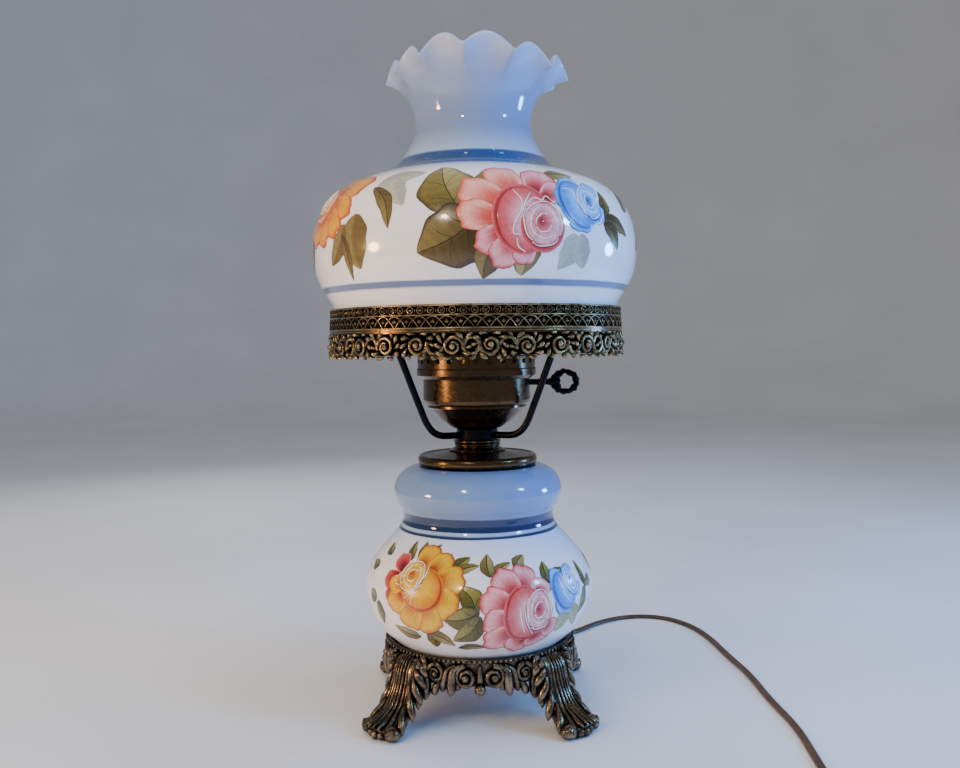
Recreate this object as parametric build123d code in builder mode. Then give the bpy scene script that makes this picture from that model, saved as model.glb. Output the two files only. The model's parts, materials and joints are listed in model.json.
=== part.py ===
"""Electric parlour lamp in the shape of an oil lamp, in millimetres.

Z is up, the surface that it stands on is z = 0, and the lamp's upright axis is the Z axis.
The front is -Y, and the switch key points along +X.
"""

import math
import os

from build123d import *

os.makedirs("parts", exist_ok=True)

# ---- Driving dimensions -------------------------------------------------------------------

# Lamp pipe, a 1/8 IP threaded pipe that holds the stack together
PIPE_RADIUS = 4.8
PIPE_BORE = 3.3
PIPE_BOTTOM = 31.0
PIPE_TOP = 208.0
BORE_ON_PIPE = 4.85
CLEAR_ON_PIPE = 5.1

# Cast foot
DECK_BOTTOM = 38.0
DECK_TOP = 42.0
APRON_BOTTOM = 28.0
LEG_COUNT = 4
LEG_HALF_WIDTH = 11.5
TOE_REACH = 86.0
TOE_RADIUS = 13.6
TOE_HEIGHT = 10.5

# Font, the lower milk glass
GASKET_THICKNESS = 1.5
FONT_BOTTOM = DECK_TOP + GASKET_THICKNESS
FONT_TOP = 169.0
FONT_WALL = 4.0

# Neck stack above the font
CAP_RADIUS = 42.6
CAP_TOP = 179.5
COLLAR_TOP = 187.0
HUB_RADIUS = 14.8
HUB_TOP = 196.0

# Tripod rods
ROD_RADIUS = 2.4
ROD_AXIS_Z = 190.6
ROD_ANGLES = {"left": 210.0, "right": 330.0, "back": 90.0}

# Shade ring for an 8 inch (203 mm) fitter
FITTER_RADIUS = 100.3
RING_RADIUS = 103.9
LEDGE_BOTTOM = 262.5
LEDGE_TOP = 265.5
BAND_TOP = 280.0
SKIRT_BOTTOM = 245.5

# Shade, the upper milk glass
SHADE_WALL = 3.4
FLARE_START = 420.0
RIM_TOP = 461.0
RUFFLE_COUNT = 12

# Burner and socket
CUP_RADIUS = 38.3
CUP_TOP = 231.0
CUP_WALL = 1.1
GALLERY_TOP = 249.0
KEY_AXIS_Z = 227.5
SOCKET_TOP = 240.0
SHELL_RADIUS = 13.9

# Key
STEM_RADIUS = 2.15
STEM_CLEARANCE = 0.45
ROTOR_RADIUS = 5.5
BOW_START = 52.0
BOW_CENTRE = 64.8

# Bulb, an A19 on an E26 base
BULB_CONTACT_BOTTOM = 243.0
BULB_BASE_RADIUS = 13.0
BULB_BASE_TOP = 268.0

# Supply cord, flat twin lamp cord whose width is the diameter of its plain tube here
CORD_RADIUS = 2.7
EXIT_ANGLE = 72.0
EXIT_DROP_ANGLE = 8.0
EXIT_RADIUS = 64.0
EXIT_Z = 33.0
COIL_CENTRE = (223.0, -194.0)
COIL_INNER = 22.5
COIL_OUTER = 36.5
COIL_HEIGHT = 12.0


def around(radius, angle, height=0.0):
    """The point at a radius and an angle in degrees about the lamp's axis."""
    turn = math.radians(angle)
    return (radius * math.cos(turn), radius * math.sin(turn), height)


def set_in(points, thickness):
    """A rising outline moved square to itself, towards the axis, by a wall's thickness."""
    moved = []
    for index, (r, z) in enumerate(points):
        before = points[max(index - 1, 0)]
        after = points[min(index + 1, len(points) - 1)]
        along_r = after[0] - before[0]
        along_z = after[1] - before[1]
        length = math.hypot(along_r, along_z)
        moved.append((r - thickness * along_z / length, z + thickness * along_r / length))
    return moved


# Way out of the foot for the cord: backwards and down
exit_heading = Vector(
    *around(math.cos(math.radians(EXIT_DROP_ANGLE)), EXIT_ANGLE, -math.sin(math.radians(EXIT_DROP_ANGLE)))
)
exit_centre = Vector(*around(EXIT_RADIUS, EXIT_ANGLE, EXIT_Z))

# ---- Foot ---------------------------------------------------------------------------------

# Round pan with a seat for the glass, an apron, and four legs with knob toes
with BuildPart() as foot_casting:
    with BuildSketch(Plane.XZ):
        with BuildLine():
            Polyline(
                (CLEAR_ON_PIPE, DECK_BOTTOM),
                (CLEAR_ON_PIPE, DECK_TOP),
                (60.5, DECK_TOP),
                (60.5, 45.0),
                (63.0, 49.0),
                (65.2, 51.6),
                (67.3, 51.6),
            )
            Spline((67.3, 51.6), (68.2, 50.0), (66.4, 47.6))
            Spline((66.4, 47.6), (64.6, 43.0), (66.6, 36.0), (64.0, APRON_BOTTOM))
            Polyline(
                (64.0, APRON_BOTTOM),
                (60.0, APRON_BOTTOM),
                (61.0, 34.0),
                (60.5, DECK_BOTTOM),
                (CLEAR_ON_PIPE, DECK_BOTTOM),
            )
        make_face()
    revolve(axis=Axis.Z)
    for leg in range(LEG_COUNT):
        leg_angle = 45.0 + leg * 360.0 / LEG_COUNT
        leg_plane = Plane(origin=(0, 0, 0), x_dir=around(1, leg_angle), z_dir=around(1, leg_angle - 90))
        with BuildSketch(leg_plane):
            with BuildLine():
                Spline((62.0, 44.5), (69.5, 40.0), (72.5, 30.0), (78.0, 19.0), (86.0, 12.0), (97.0, 7.0))
                Polyline((97.0, 7.0), (97.0, 0.0), (76.0, 0.0))
                Spline((76.0, 0.0), (74.0, 8.0), (68.5, 17.0), (62.0, APRON_BOTTOM))
                Line((62.0, APRON_BOTTOM), (62.0, 44.5))
            make_face()
        extrude(amount=LEG_HALF_WIDTH, both=True)
        with BuildSketch(Plane(origin=around(TOE_REACH, leg_angle))):
            Circle(TOE_RADIUS)
        extrude(amount=TOE_HEIGHT)
    with BuildSketch(Plane(origin=exit_centre, z_dir=exit_heading)):
        Circle(4.4)
    extrude(amount=12.0, both=True, mode=Mode.SUBTRACT)
foot_casting.part.label = "foot_casting"
export_step(foot_casting.part, "parts/foot_casting.step")

# Washer and nut that clamp the stack from below
with BuildPart() as bottom_washer:
    with BuildSketch(Plane.XY.offset(DECK_BOTTOM - 2.0)):
        Circle(14.0)
        Circle(CLEAR_ON_PIPE, mode=Mode.SUBTRACT)
    extrude(amount=2.0)
bottom_washer.part.label = "bottom_washer"
export_step(bottom_washer.part, "parts/bottom_washer.step")

with BuildPart() as bottom_nut:
    with BuildSketch(Plane.XY.offset(DECK_BOTTOM - 6.0)):
        RegularPolygon(radius=8.4, side_count=6)
        Circle(BORE_ON_PIPE, mode=Mode.SUBTRACT)
    extrude(amount=4.0)
bottom_nut.part.label = "bottom_nut"
export_step(bottom_nut.part, "parts/bottom_nut.step")

# Bushing in the apron's back wall, where the cord leaves
grommet_plane = Plane(origin=exit_centre - 6.0 * exit_heading, z_dir=exit_heading)
with BuildPart() as cord_grommet:
    with BuildSketch(grommet_plane):
        Circle(4.3)
    extrude(amount=12.0)
    with BuildSketch(grommet_plane.offset(12.0)):
        Circle(5.6)
    extrude(amount=2.0)
    with BuildSketch(grommet_plane.offset(14.0)):
        Circle(4.4)
    extrude(amount=14.0, taper=3.0)
    with BuildSketch(grommet_plane):
        Circle(CORD_RADIUS)
    extrude(amount=30.0, mode=Mode.SUBTRACT)
cord_grommet.part.label = "cord_grommet"
export_step(cord_grommet.part, "parts/cord_grommet.step")

# ---- Font -------------------------------------------------------------------------------

with BuildPart() as font_gasket:
    with BuildSketch(Plane.XY.offset(DECK_TOP)):
        Circle(50.0)
        Circle(37.0, mode=Mode.SUBTRACT)
    extrude(amount=GASKET_THICKNESS)
font_gasket.part.label = "font_gasket"
export_step(font_gasket.part, "parts/font_gasket.step")

# Squat globe below, a waist, and a shallow bulge under the cap
font_outline = [
    (49.0, FONT_BOTTOM),
    (58.0, 46.8),
    (65.0, 52.3),
    (70.8, 58.2),
    (75.6, 65.2),
    (79.2, 74.5),
    (80.7, 84.5),
    (79.0, 95.0),
    (75.0, 103.5),
    (69.5, 111.0),
    (63.0, 118.2),
    (57.3, 124.8),
    (54.0, 132.0),
    (54.8, 138.5),
    (58.0, 144.5),
    (60.1, 152.5),
    (57.0, 161.5),
    (50.5, 167.0),
    (44.0, FONT_TOP),
]
font_inner = set_in(font_outline, FONT_WALL)
FONT_FOOT_BORE = 34.0
FONT_MOUTH_BORE = 37.0
with BuildPart() as font_glass:
    with BuildSketch(Plane.XZ):
        with BuildLine():
            Spline(*font_outline, tangents=((1, 0), (-1, 0)))
            Line((44.0, FONT_TOP), (FONT_MOUTH_BORE, FONT_TOP))
            Line((FONT_MOUTH_BORE, FONT_TOP), (FONT_MOUTH_BORE, FONT_TOP - FONT_WALL))
            Line((FONT_MOUTH_BORE, FONT_TOP - FONT_WALL), font_inner[-1])
            Spline(*reversed(font_inner))
            Line(font_inner[0], (FONT_FOOT_BORE, FONT_BOTTOM + FONT_WALL))
            Line((FONT_FOOT_BORE, FONT_BOTTOM + FONT_WALL), (FONT_FOOT_BORE, FONT_BOTTOM))
            Line((FONT_FOOT_BORE, FONT_BOTTOM), (49.0, FONT_BOTTOM))
        make_face()
    revolve(axis=Axis.Z)
font_glass.part.label = "font_glass"
export_step(font_glass.part, "parts/font_glass.step")

# ---- Neck stack ---------------------------------------------------------------------------

# Spun brass cap with a rolled rim
with BuildPart() as vase_cap:
    with BuildSketch(Plane.XZ):
        with BuildLine():
            Polyline(
                (CLEAR_ON_PIPE, CAP_TOP - 1.4),
                (CLEAR_ON_PIPE, CAP_TOP),
                (30.0, CAP_TOP),
                (31.0, 178.0),
                (38.5, 175.8),
                (40.6, 175.6),
            )
            ThreePointArc((40.6, 175.6), (CAP_RADIUS, 172.8), (40.6, FONT_TOP))
            Polyline(
                (40.6, FONT_TOP),
                (37.8, FONT_TOP),
                (37.8, 174.4),
                (29.8, 176.8),
                (29.0, CAP_TOP - 1.4),
                (CLEAR_ON_PIPE, CAP_TOP - 1.4),
            )
        make_face()
    revolve(axis=Axis.Z)
vase_cap.part.label = "vase_cap"
export_step(vase_cap.part, "parts/vase_cap.step")

# Turned collar: a wide flange and two steps
with BuildPart() as neck_collar:
    with BuildSketch(Plane.XZ):
        with BuildLine():
            Polyline(
                (CLEAR_ON_PIPE, CAP_TOP),
                (28.4, CAP_TOP),
                (28.4, CAP_TOP + 1.0),
                (26.8, CAP_TOP + 1.9),
                (20.6, CAP_TOP + 2.2),
            )
            ThreePointArc((20.6, CAP_TOP + 2.2), (21.4, CAP_TOP + 3.6), (20.0, CAP_TOP + 5.0))
            Polyline(
                (20.0, CAP_TOP + 5.0),
                (16.6, CAP_TOP + 5.6),
                (15.6, COLLAR_TOP),
                (CLEAR_ON_PIPE, COLLAR_TOP),
                (CLEAR_ON_PIPE, CAP_TOP),
            )
        make_face()
    revolve(axis=Axis.Z)
neck_collar.part.label = "neck_collar"
export_step(neck_collar.part, "parts/neck_collar.step")

# Hub that the three rods are pressed into
ROD_SEAT = 7.0
with BuildPart() as tripod_hub:
    with BuildSketch(Plane.XZ):
        with BuildLine():
            Polyline(
                (CLEAR_ON_PIPE, COLLAR_TOP),
                (HUB_RADIUS, COLLAR_TOP),
                (HUB_RADIUS, 194.6),
                (13.2, 195.2),
                (16.0, HUB_TOP),
                (CLEAR_ON_PIPE, HUB_TOP),
                (CLEAR_ON_PIPE, COLLAR_TOP),
            )
        make_face()
    revolve(axis=Axis.Z)
    for rod_angle in ROD_ANGLES.values():
        rod_seat = Plane(origin=around(ROD_SEAT, rod_angle, ROD_AXIS_Z), z_dir=around(1, rod_angle))
        with BuildSketch(rod_seat):
            Circle(ROD_RADIUS)
        extrude(amount=20.0, mode=Mode.SUBTRACT)
tripod_hub.part.label = "tripod_hub"
export_step(tripod_hub.part, "parts/tripod_hub.step")

# Three bent rods, out of the hub, up past the burner and out to the ring's ledge
ROD_ROUTE = [(ROD_SEAT, ROD_AXIS_Z), (36.5, ROD_AXIS_Z), (60.0, 246.5), (96.6, 256.0), (96.6, LEDGE_BOTTOM)]
ROD_BENDS = [13.0, 8.0, 4.0]
for side, rod_angle in ROD_ANGLES.items():
    with BuildPart() as ring_arm:
        with BuildLine() as rod_line:
            FilletPolyline(*[around(r, rod_angle, z) for r, z in ROD_ROUTE], radius=ROD_BENDS)
        rod_start = Plane(origin=around(ROD_SEAT, rod_angle, ROD_AXIS_Z), z_dir=around(1, rod_angle))
        with BuildSketch(rod_start):
            Circle(ROD_RADIUS)
        sweep(path=rod_line.wire())
    ring_arm.part.label = f"ring_arm_{side}"
    export_step(ring_arm.part, f"parts/ring_arm_{side}.step")

# ---- Shade ring ---------------------------------------------------------------------------

with BuildPart() as shade_ring:
    with BuildSketch(Plane.XY.offset(LEDGE_BOTTOM)):
        Circle(RING_RADIUS)
        Circle(93.0, mode=Mode.SUBTRACT)
    extrude(amount=LEDGE_TOP - LEDGE_BOTTOM)
shade_ring.part.label = "shade_ring"
export_step(shade_ring.part, "parts/shade_ring.step")

# Upright band, rolled with three narrow beads
BAND_WALL = 1.0
BEAD_RADIUS = 0.5
BEAD_HEIGHTS = (266.3, 274.8, 279.2)
band_inner = RING_RADIUS - 1.4
with BuildPart() as gallery_band:
    with BuildSketch(Plane.XZ):
        with Locations((band_inner + BAND_WALL / 2, (LEDGE_TOP + BAND_TOP) / 2)):
            Rectangle(BAND_WALL, BAND_TOP - LEDGE_TOP)
        with Locations(*[(RING_RADIUS - BEAD_RADIUS, bead_z) for bead_z in BEAD_HEIGHTS]):
            Circle(BEAD_RADIUS)
    revolve(axis=Axis.Z)
gallery_band.part.label = "gallery_band"
export_step(gallery_band.part, "parts/gallery_band.step")

# Hanging skirt with a pierced, scalloped edge
SKIRT_WALL = 1.8
SCROLL_COUNT = 36
with BuildPart() as scroll_skirt:
    with BuildSketch(Plane.XY.offset(SKIRT_BOTTOM)):
        Circle(RING_RADIUS - 0.3)
        Circle(RING_RADIUS - 0.3 - SKIRT_WALL, mode=Mode.SUBTRACT)
    extrude(amount=LEDGE_BOTTOM - SKIRT_BOTTOM)
    with BuildSketch(Plane.XZ.offset(RING_RADIUS - 5.0)):
        with Locations((0.0, 256.0)):
            Circle(3.2)
        with Locations((0.0, SKIRT_BOTTOM - 1.0)):
            Circle(3.6)
    scroll_tool = extrude(amount=7.0, mode=Mode.PRIVATE)
    with PolarLocations(0.0, SCROLL_COUNT):
        add(scroll_tool, mode=Mode.SUBTRACT)
scroll_skirt.part.label = "scroll_skirt"
export_step(scroll_skirt.part, "parts/scroll_skirt.step")

# ---- Shade --------------------------------------------------------------------------------

# Straight fitter, broad squat bowl, shoulder, waisted neck, then a crimped flare
shade_outline = [
    (FITTER_RADIUS, 276.0),
    (101.2, 283.0),
    (105.0, 289.2),
    (109.6, 296.8),
    (113.2, 306.5),
    (114.8, 318.0),
    (114.2, 330.0),
    (110.8, 343.0),
    (104.5, 354.5),
    (94.0, 363.8),
    (81.0, 370.0),
    (68.5, 374.2),
    (59.2, 379.0),
    (51.8, 386.8),
    (45.6, 397.0),
    (41.9, 407.0),
    (41.4, 414.0),
    (42.6, FLARE_START),
]
shade_inner = set_in(shade_outline, SHADE_WALL)
shade_inner[0] = (FITTER_RADIUS - SHADE_WALL, 276.0)
shade_inner[-1] = (42.6 - SHADE_WALL, FLARE_START)
# Height, mean radius and crimp depth of the flare's sections above the round start
FLARE_SECTIONS = [(431.0, 50.2, 0.7), (445.0, 58.8, 2.6), (RIM_TOP, 64.2, 4.6)]


def crimped_outline(mean, wave):
    """Points of one closed outline with the ruffle's waves, four to a wave."""
    steps = RUFFLE_COUNT * 4
    points = []
    for step in range(steps):
        turn = 2 * math.pi * step / steps
        radius = mean + wave * math.cos(RUFFLE_COUNT * turn)
        points.append((radius * math.cos(turn), radius * math.sin(turn)))
    return points


with BuildPart() as shade_glass:
    with BuildSketch(Plane.XZ):
        with BuildLine():
            Line((FITTER_RADIUS, LEDGE_TOP), shade_outline[0])
            Spline(*shade_outline)
            Line(shade_outline[-1], shade_inner[-1])
            Spline(*reversed(shade_inner))
            Line(shade_inner[0], (FITTER_RADIUS - SHADE_WALL, LEDGE_TOP))
            Line((FITTER_RADIUS - SHADE_WALL, LEDGE_TOP), (FITTER_RADIUS, LEDGE_TOP))
        make_face()
    revolve(axis=Axis.Z)
    for set_back, flare_mode in ((0.0, Mode.ADD), (SHADE_WALL, Mode.SUBTRACT)):
        with BuildSketch(Plane.XY.offset(FLARE_START)):
            Circle(42.6 - set_back)
        for height, mean, wave in FLARE_SECTIONS:
            with BuildSketch(Plane.XY.offset(height)):
                with BuildLine():
                    Spline(*crimped_outline(mean - set_back, wave), periodic=True)
                make_face()
        loft(mode=flare_mode)
shade_glass.part.label = "shade_glass"
export_step(shade_glass.part, "parts/shade_glass.step")

# ---- Burner -------------------------------------------------------------------------------

# Spun bowl that hides the socket, with a bead and a straight wall
cup_outline = [
    (19.0, HUB_TOP),
    (21.8, 197.6),
    (25.9, 200.4),
    (28.6, 203.2),
    (31.2, 206.4),
    (33.8, 209.4),
    (35.4, 210.6),
    (35.2, 212.2),
    (37.4, 213.6),
    (CUP_RADIUS, 215.8),
    (CUP_RADIUS, CUP_TOP),
]
cup_inner = set_in(cup_outline, CUP_WALL)
cup_inner[0] = (19.0, HUB_TOP + CUP_WALL)
cup_inner[-2] = (CUP_RADIUS - CUP_WALL, 216.2)
with BuildPart() as burner_cup:
    with BuildSketch(Plane.XZ):
        with BuildLine():
            Polyline(
                (CLEAR_ON_PIPE, HUB_TOP),
                *cup_outline,
                *reversed(cup_inner),
                (CLEAR_ON_PIPE, HUB_TOP + CUP_WALL),
                close=True,
            )
        make_face()
    revolve(axis=Axis.Z)
    with Locations(Location((CUP_RADIUS, 0, KEY_AXIS_Z), (0, 90, 0))):
        Cylinder(radius=STEM_RADIUS + STEM_CLEARANCE, height=8.0, mode=Mode.SUBTRACT)
burner_cup.part.label = "burner_cup"
export_step(burner_cup.part, "parts/burner_cup.step")

# Pierced crown on the cup's edge
AIR_HOLE_COUNT = 28
with BuildPart() as burner_gallery:
    with BuildSketch(Plane.XZ):
        with BuildLine():
            Polyline(
                (36.2, CUP_TOP),
                (39.4, CUP_TOP),
                (42.8, 233.4),
                (42.8, 237.6),
                (42.2, 238.4),
                (42.2, GALLERY_TOP),
                (41.2, GALLERY_TOP),
                (41.2, 234.6),
                (38.9, 232.3),
                (36.2, 232.3),
                close=True,
            )
        make_face()
    revolve(axis=Axis.Z)
    with PolarLocations(42.0, AIR_HOLE_COUNT):
        with Locations(Location((0, 0, 243.4), (0, 90, 0))):
            Cylinder(radius=1.9, height=6.0, mode=Mode.SUBTRACT)
burner_gallery.part.label = "burner_gallery"
export_step(burner_gallery.part, "parts/burner_gallery.step")

# Nut that clamps the bowl on the hub
with BuildPart() as cup_nut:
    with BuildSketch(Plane.XY.offset(HUB_TOP + CUP_WALL)):
        RegularPolygon(radius=8.4, side_count=6)
        Circle(BORE_ON_PIPE, mode=Mode.SUBTRACT)
    extrude(amount=3.6)
cup_nut.part.label = "cup_nut"
export_step(cup_nut.part, "parts/cup_nut.step")

with BuildPart() as lamp_pipe:
    with BuildSketch(Plane.XY.offset(PIPE_BOTTOM)):
        Circle(PIPE_RADIUS)
        Circle(PIPE_BORE, mode=Mode.SUBTRACT)
    extrude(amount=PIPE_TOP - PIPE_BOTTOM)
lamp_pipe.part.label = "lamp_pipe"
export_step(lamp_pipe.part, "parts/lamp_pipe.step")

# ---- Socket -------------------------------------------------------------------------------

CAP_SEAT = 204.0
BODY_BOTTOM = 211.0
SOCKET_RADIUS = 15.6
COVER_RADIUS = 17.2
ROTOR_BORE = ROTOR_RADIUS + 0.5
with BuildPart() as socket_cap:
    with BuildSketch(Plane.XY.offset(CAP_SEAT)):
        Circle(COVER_RADIUS)
        Circle(BORE_ON_PIPE, mode=Mode.SUBTRACT)
    extrude(amount=3.0)
    with BuildSketch(Plane.XY.offset(CAP_SEAT + 3.0)):
        Circle(SOCKET_RADIUS)
        Circle(12.5, mode=Mode.SUBTRACT)
    extrude(amount=BODY_BOTTOM - CAP_SEAT - 3.0)
socket_cap.part.label = "socket_cap"
export_step(socket_cap.part, "parts/socket_cap.step")

# Moulded body with a cross bore for the rotary switch
with BuildPart() as socket_body:
    with BuildSketch(Plane.XY.offset(BODY_BOTTOM)):
        Circle(SOCKET_RADIUS)
    extrude(amount=SOCKET_TOP - BODY_BOTTOM)
    with BuildSketch(Plane.YZ.offset(-10.0)):
        with Locations((0.0, KEY_AXIS_Z)):
            Circle(ROTOR_BORE)
    extrude(amount=20.5, mode=Mode.SUBTRACT)
    with BuildSketch(Plane.YZ.offset(10.0)):
        with Locations((0.0, KEY_AXIS_Z)):
            Circle(STEM_RADIUS + STEM_CLEARANCE)
    extrude(amount=10.0, mode=Mode.SUBTRACT)
socket_body.part.label = "socket_body"
export_step(socket_body.part, "parts/socket_body.step")

# Thin brass cover round the body, resting on the cap's edge
with BuildPart() as socket_cover:
    with BuildSketch(Plane.XY.offset(CAP_SEAT + 3.0)):
        Circle(COVER_RADIUS)
        Circle(COVER_RADIUS - 0.6, mode=Mode.SUBTRACT)
    extrude(amount=51.0)
    with Locations(Location((COVER_RADIUS, 0, KEY_AXIS_Z), (0, 90, 0))):
        Cylinder(radius=STEM_RADIUS + STEM_CLEARANCE, height=6.0, mode=Mode.SUBTRACT)
socket_cover.part.label = "socket_cover"
export_step(socket_cover.part, "parts/socket_cover.step")

with BuildPart() as screw_shell:
    with BuildSketch(Plane.XY.offset(SOCKET_TOP)):
        Circle(SHELL_RADIUS)
        Circle(SHELL_RADIUS - 0.5, mode=Mode.SUBTRACT)
    extrude(amount=20.0)
screw_shell.part.label = "screw_shell"
export_step(screw_shell.part, "parts/screw_shell.step")

with BuildPart() as insulating_sleeve:
    with BuildSketch(Plane.XY.offset(SOCKET_TOP)):
        Circle(15.4)
        Circle(14.3, mode=Mode.SUBTRACT)
    extrude(amount=19.0)
insulating_sleeve.part.label = "insulating_sleeve"
export_step(insulating_sleeve.part, "parts/insulating_sleeve.step")

with BuildPart() as center_contact:
    with BuildSketch(Plane.XY.offset(SOCKET_TOP)):
        SlotOverall(11.0, 5.0)
    extrude(amount=1.2)
    with BuildSketch(Plane.XY.offset(SOCKET_TOP + 1.2)):
        Circle(2.4)
    extrude(amount=BULB_CONTACT_BOTTOM - SOCKET_TOP - 1.2)
center_contact.part.label = "center_contact"
export_step(center_contact.part, "parts/center_contact.step")

# Two terminal screws under the body, heads down in the cap's hollow
with BuildPart() as terminal_screws:
    for screw_x in (-8.6, 8.6):
        with BuildSketch(Plane.XY.offset(BODY_BOTTOM - 2.0)):
            with Locations((screw_x, 0.0)):
                Circle(2.6)
        extrude(amount=2.0)
terminal_screws.part.label = "terminal_screws"
export_step(terminal_screws.part, "parts/terminal_screws.step")

# ---- Key and switch -----------------------------------------------------------------------

with BuildPart() as switch_rotor:
    with BuildSketch(Plane.YZ.offset(-9.4)):
        with Locations((0.0, KEY_AXIS_Z)):
            Circle(ROTOR_RADIUS)
    extrude(amount=19.0)
switch_rotor.part.label = "switch_rotor"
export_step(switch_rotor.part, "parts/switch_rotor.step")

with BuildPart() as key_stem:
    with BuildSketch(Plane.YZ.offset(9.6)):
        with Locations((0.0, KEY_AXIS_Z)):
            Circle(STEM_RADIUS)
    extrude(amount=BOW_START - 9.6)
key_stem.part.label = "key_stem"
export_step(key_stem.part, "parts/key_stem.step")

with BuildPart() as key_collar:
    with BuildSketch(Plane.YZ.offset(BOW_START - 6.0)):
        with Locations((0.0, KEY_AXIS_Z)):
            Circle(3.7)
            Circle(STEM_RADIUS, mode=Mode.SUBTRACT)
    extrude(amount=2.6)
key_collar.part.label = "key_collar"
export_step(key_collar.part, "parts/key_collar.step")

# Open bow with a lobed edge
BOW_LOBES = 9
with BuildPart() as key_bow:
    with BuildSketch(Plane.XZ.offset(-1.7)):
        with Locations((BOW_CENTRE, KEY_AXIS_Z)):
            Ellipse(8.6, 7.8)
        for lobe in range(BOW_LOBES):
            lobe_turn = 2 * math.pi * lobe / BOW_LOBES
            with Locations((BOW_CENTRE + 7.6 * math.cos(lobe_turn), KEY_AXIS_Z + 6.8 * math.sin(lobe_turn))):
                Circle(2.5)
        with Locations((BOW_CENTRE, KEY_AXIS_Z)):
            Ellipse(5.0, 4.6, mode=Mode.SUBTRACT)
    extrude(amount=3.4)
    with BuildSketch(Plane.YZ.offset(BOW_START)):
        with Locations((0.0, KEY_AXIS_Z)):
            Circle(2.7)
    extrude(amount=5.5)
key_bow.part.label = "key_bow"
export_step(key_bow.part, "parts/key_bow.step")

# ---- Bulb ---------------------------------------------------------------------------------

with BuildPart() as bulb_contact:
    with BuildSketch(Plane.XY.offset(BULB_CONTACT_BOTTOM)):
        Circle(4.6)
    extrude(amount=1.2)
bulb_contact.part.label = "bulb_contact"
export_step(bulb_contact.part, "parts/bulb_contact.step")

with BuildPart() as bulb_insulator:
    with BuildSketch(Plane.XY.offset(BULB_CONTACT_BOTTOM + 1.2)):
        Circle(5.6)
    with BuildSketch(Plane.XY.offset(247.0)):
        Circle(11.6)
    loft()
bulb_insulator.part.label = "bulb_insulator"
export_step(bulb_insulator.part, "parts/bulb_insulator.step")

with BuildPart() as bulb_base:
    with BuildSketch(Plane.XY.offset(247.0)):
        Circle(BULB_BASE_RADIUS)
        Circle(12.2, mode=Mode.SUBTRACT)
    extrude(amount=BULB_BASE_TOP - 247.0)
bulb_base.part.label = "bulb_base"
export_step(bulb_base.part, "parts/bulb_base.step")

BULB_TOP = 352.0
GLASS_WALL = 0.8
BULB_RADIUS = 30.0
BULB_MIDDLE = BULB_TOP - BULB_RADIUS
bulb_outline = [(12.1, 268.0), (14.4, 279.0), (21.0, 293.0), (27.6, 307.0), (BULB_RADIUS, BULB_MIDDLE)]
with BuildPart() as bulb_glass:
    for set_back, bulb_mode in ((0.0, Mode.ADD), (GLASS_WALL, Mode.SUBTRACT)):
        shifted = [(r - set_back, z) for r, z in bulb_outline]
        crown = BULB_RADIUS - set_back
        shoulder = crown / math.sqrt(2)
        with BuildSketch(Plane.XZ):
            with BuildLine():
                Polyline((0.0, 262.0), (shifted[0][0], 262.0), shifted[0])
                Spline(*shifted, tangents=((0, 1), (0, 1)))
                ThreePointArc(shifted[-1], (shoulder, BULB_MIDDLE + shoulder), (0.0, BULB_MIDDLE + crown))
                Line((0.0, BULB_TOP - set_back), (0.0, 262.0))
            make_face()
        revolve(axis=Axis.Z, mode=bulb_mode)
bulb_glass.part.label = "bulb_glass"
export_step(bulb_glass.part, "parts/bulb_glass.step")

with BuildPart() as bulb_stem:
    with BuildSketch(Plane.XZ):
        with BuildLine():
            Polyline((0, 262.0), (11.0, 262.0), (10.6, 264.0), (4.2, 268.5), (2.6, 297.0), (0, 298.0), close=True)
        make_face()
    revolve(axis=Axis.Z)
bulb_stem.part.label = "bulb_stem"
export_step(bulb_stem.part, "parts/bulb_stem.step")

with BuildPart() as bulb_filament:
    with BuildLine() as filament_line:
        FilletPolyline((-2.2, 0, 296.9), (-11, 0, 313), (11, 0, 313), (2.2, 0, 296.9), radius=3.0)
    with BuildSketch(Plane(origin=(-2.2, 0, 296.9), z_dir=(-8.8, 0, 16.1))):
        Circle(0.5)
    sweep(path=filament_line.wire())
    with BuildSketch(Plane.XY.offset(298.0)):
        Circle(10.0)
    extrude(amount=-3.0, mode=Mode.SUBTRACT)
bulb_filament.part.label = "bulb_filament"
export_step(bulb_filament.part, "parts/bulb_filament.step")

# ---- Supply cord --------------------------------------------------------------------------


def route_radii(points):
    """Bend radius at each inner point: 0.45 of the shorter run over the tangent of half the turn."""
    radii = []
    for before, here, after in zip(points, points[1:], points[2:]):
        arriving = Vector(*here) - Vector(*before)
        leaving = Vector(*after) - Vector(*here)
        shorter = min(arriving.length, leaving.length)
        radii.append(0.45 * shorter / math.tan(math.radians(arriving.get_angle(leaving)) / 2))
    return radii


def tube(points, radii, radius):
    """A round tube along straight runs joined by arcs."""
    with BuildPart() as tube_part:
        with BuildLine() as tube_line:
            FilletPolyline(*points, radius=radii)
        start = Vector(*points[0])
        with BuildSketch(Plane(origin=points[0], z_dir=Vector(*points[1]) - start)):
            Circle(radius)
        sweep(path=tube_line.wire())
    swept_length = tube_line.wire().length
    expected = math.pi * radius * radius * swept_length
    print("length", round(swept_length, 1), "volume ratio", round(tube_part.part.volume / expected, 4))
    return tube_part


# The cord inside: across the hollow foot, up the pipe and into the socket's cap
cord_joint = exit_centre - 4.0 * exit_heading
inner_route = [
    cord_joint,
    cord_joint - 14.0 * exit_heading,
    around(16.0, EXIT_ANGLE, 13.0),
    (0.0, 0.0, 14.0),
    (0.0, 0.0, 202.0),
]
inner_cord = tube(inner_route, [12.0, 14.0, 7.0], CORD_RADIUS)
inner_cord.part.label = "inner_cord"
export_step(inner_cord.part, "parts/inner_cord.step")

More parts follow.
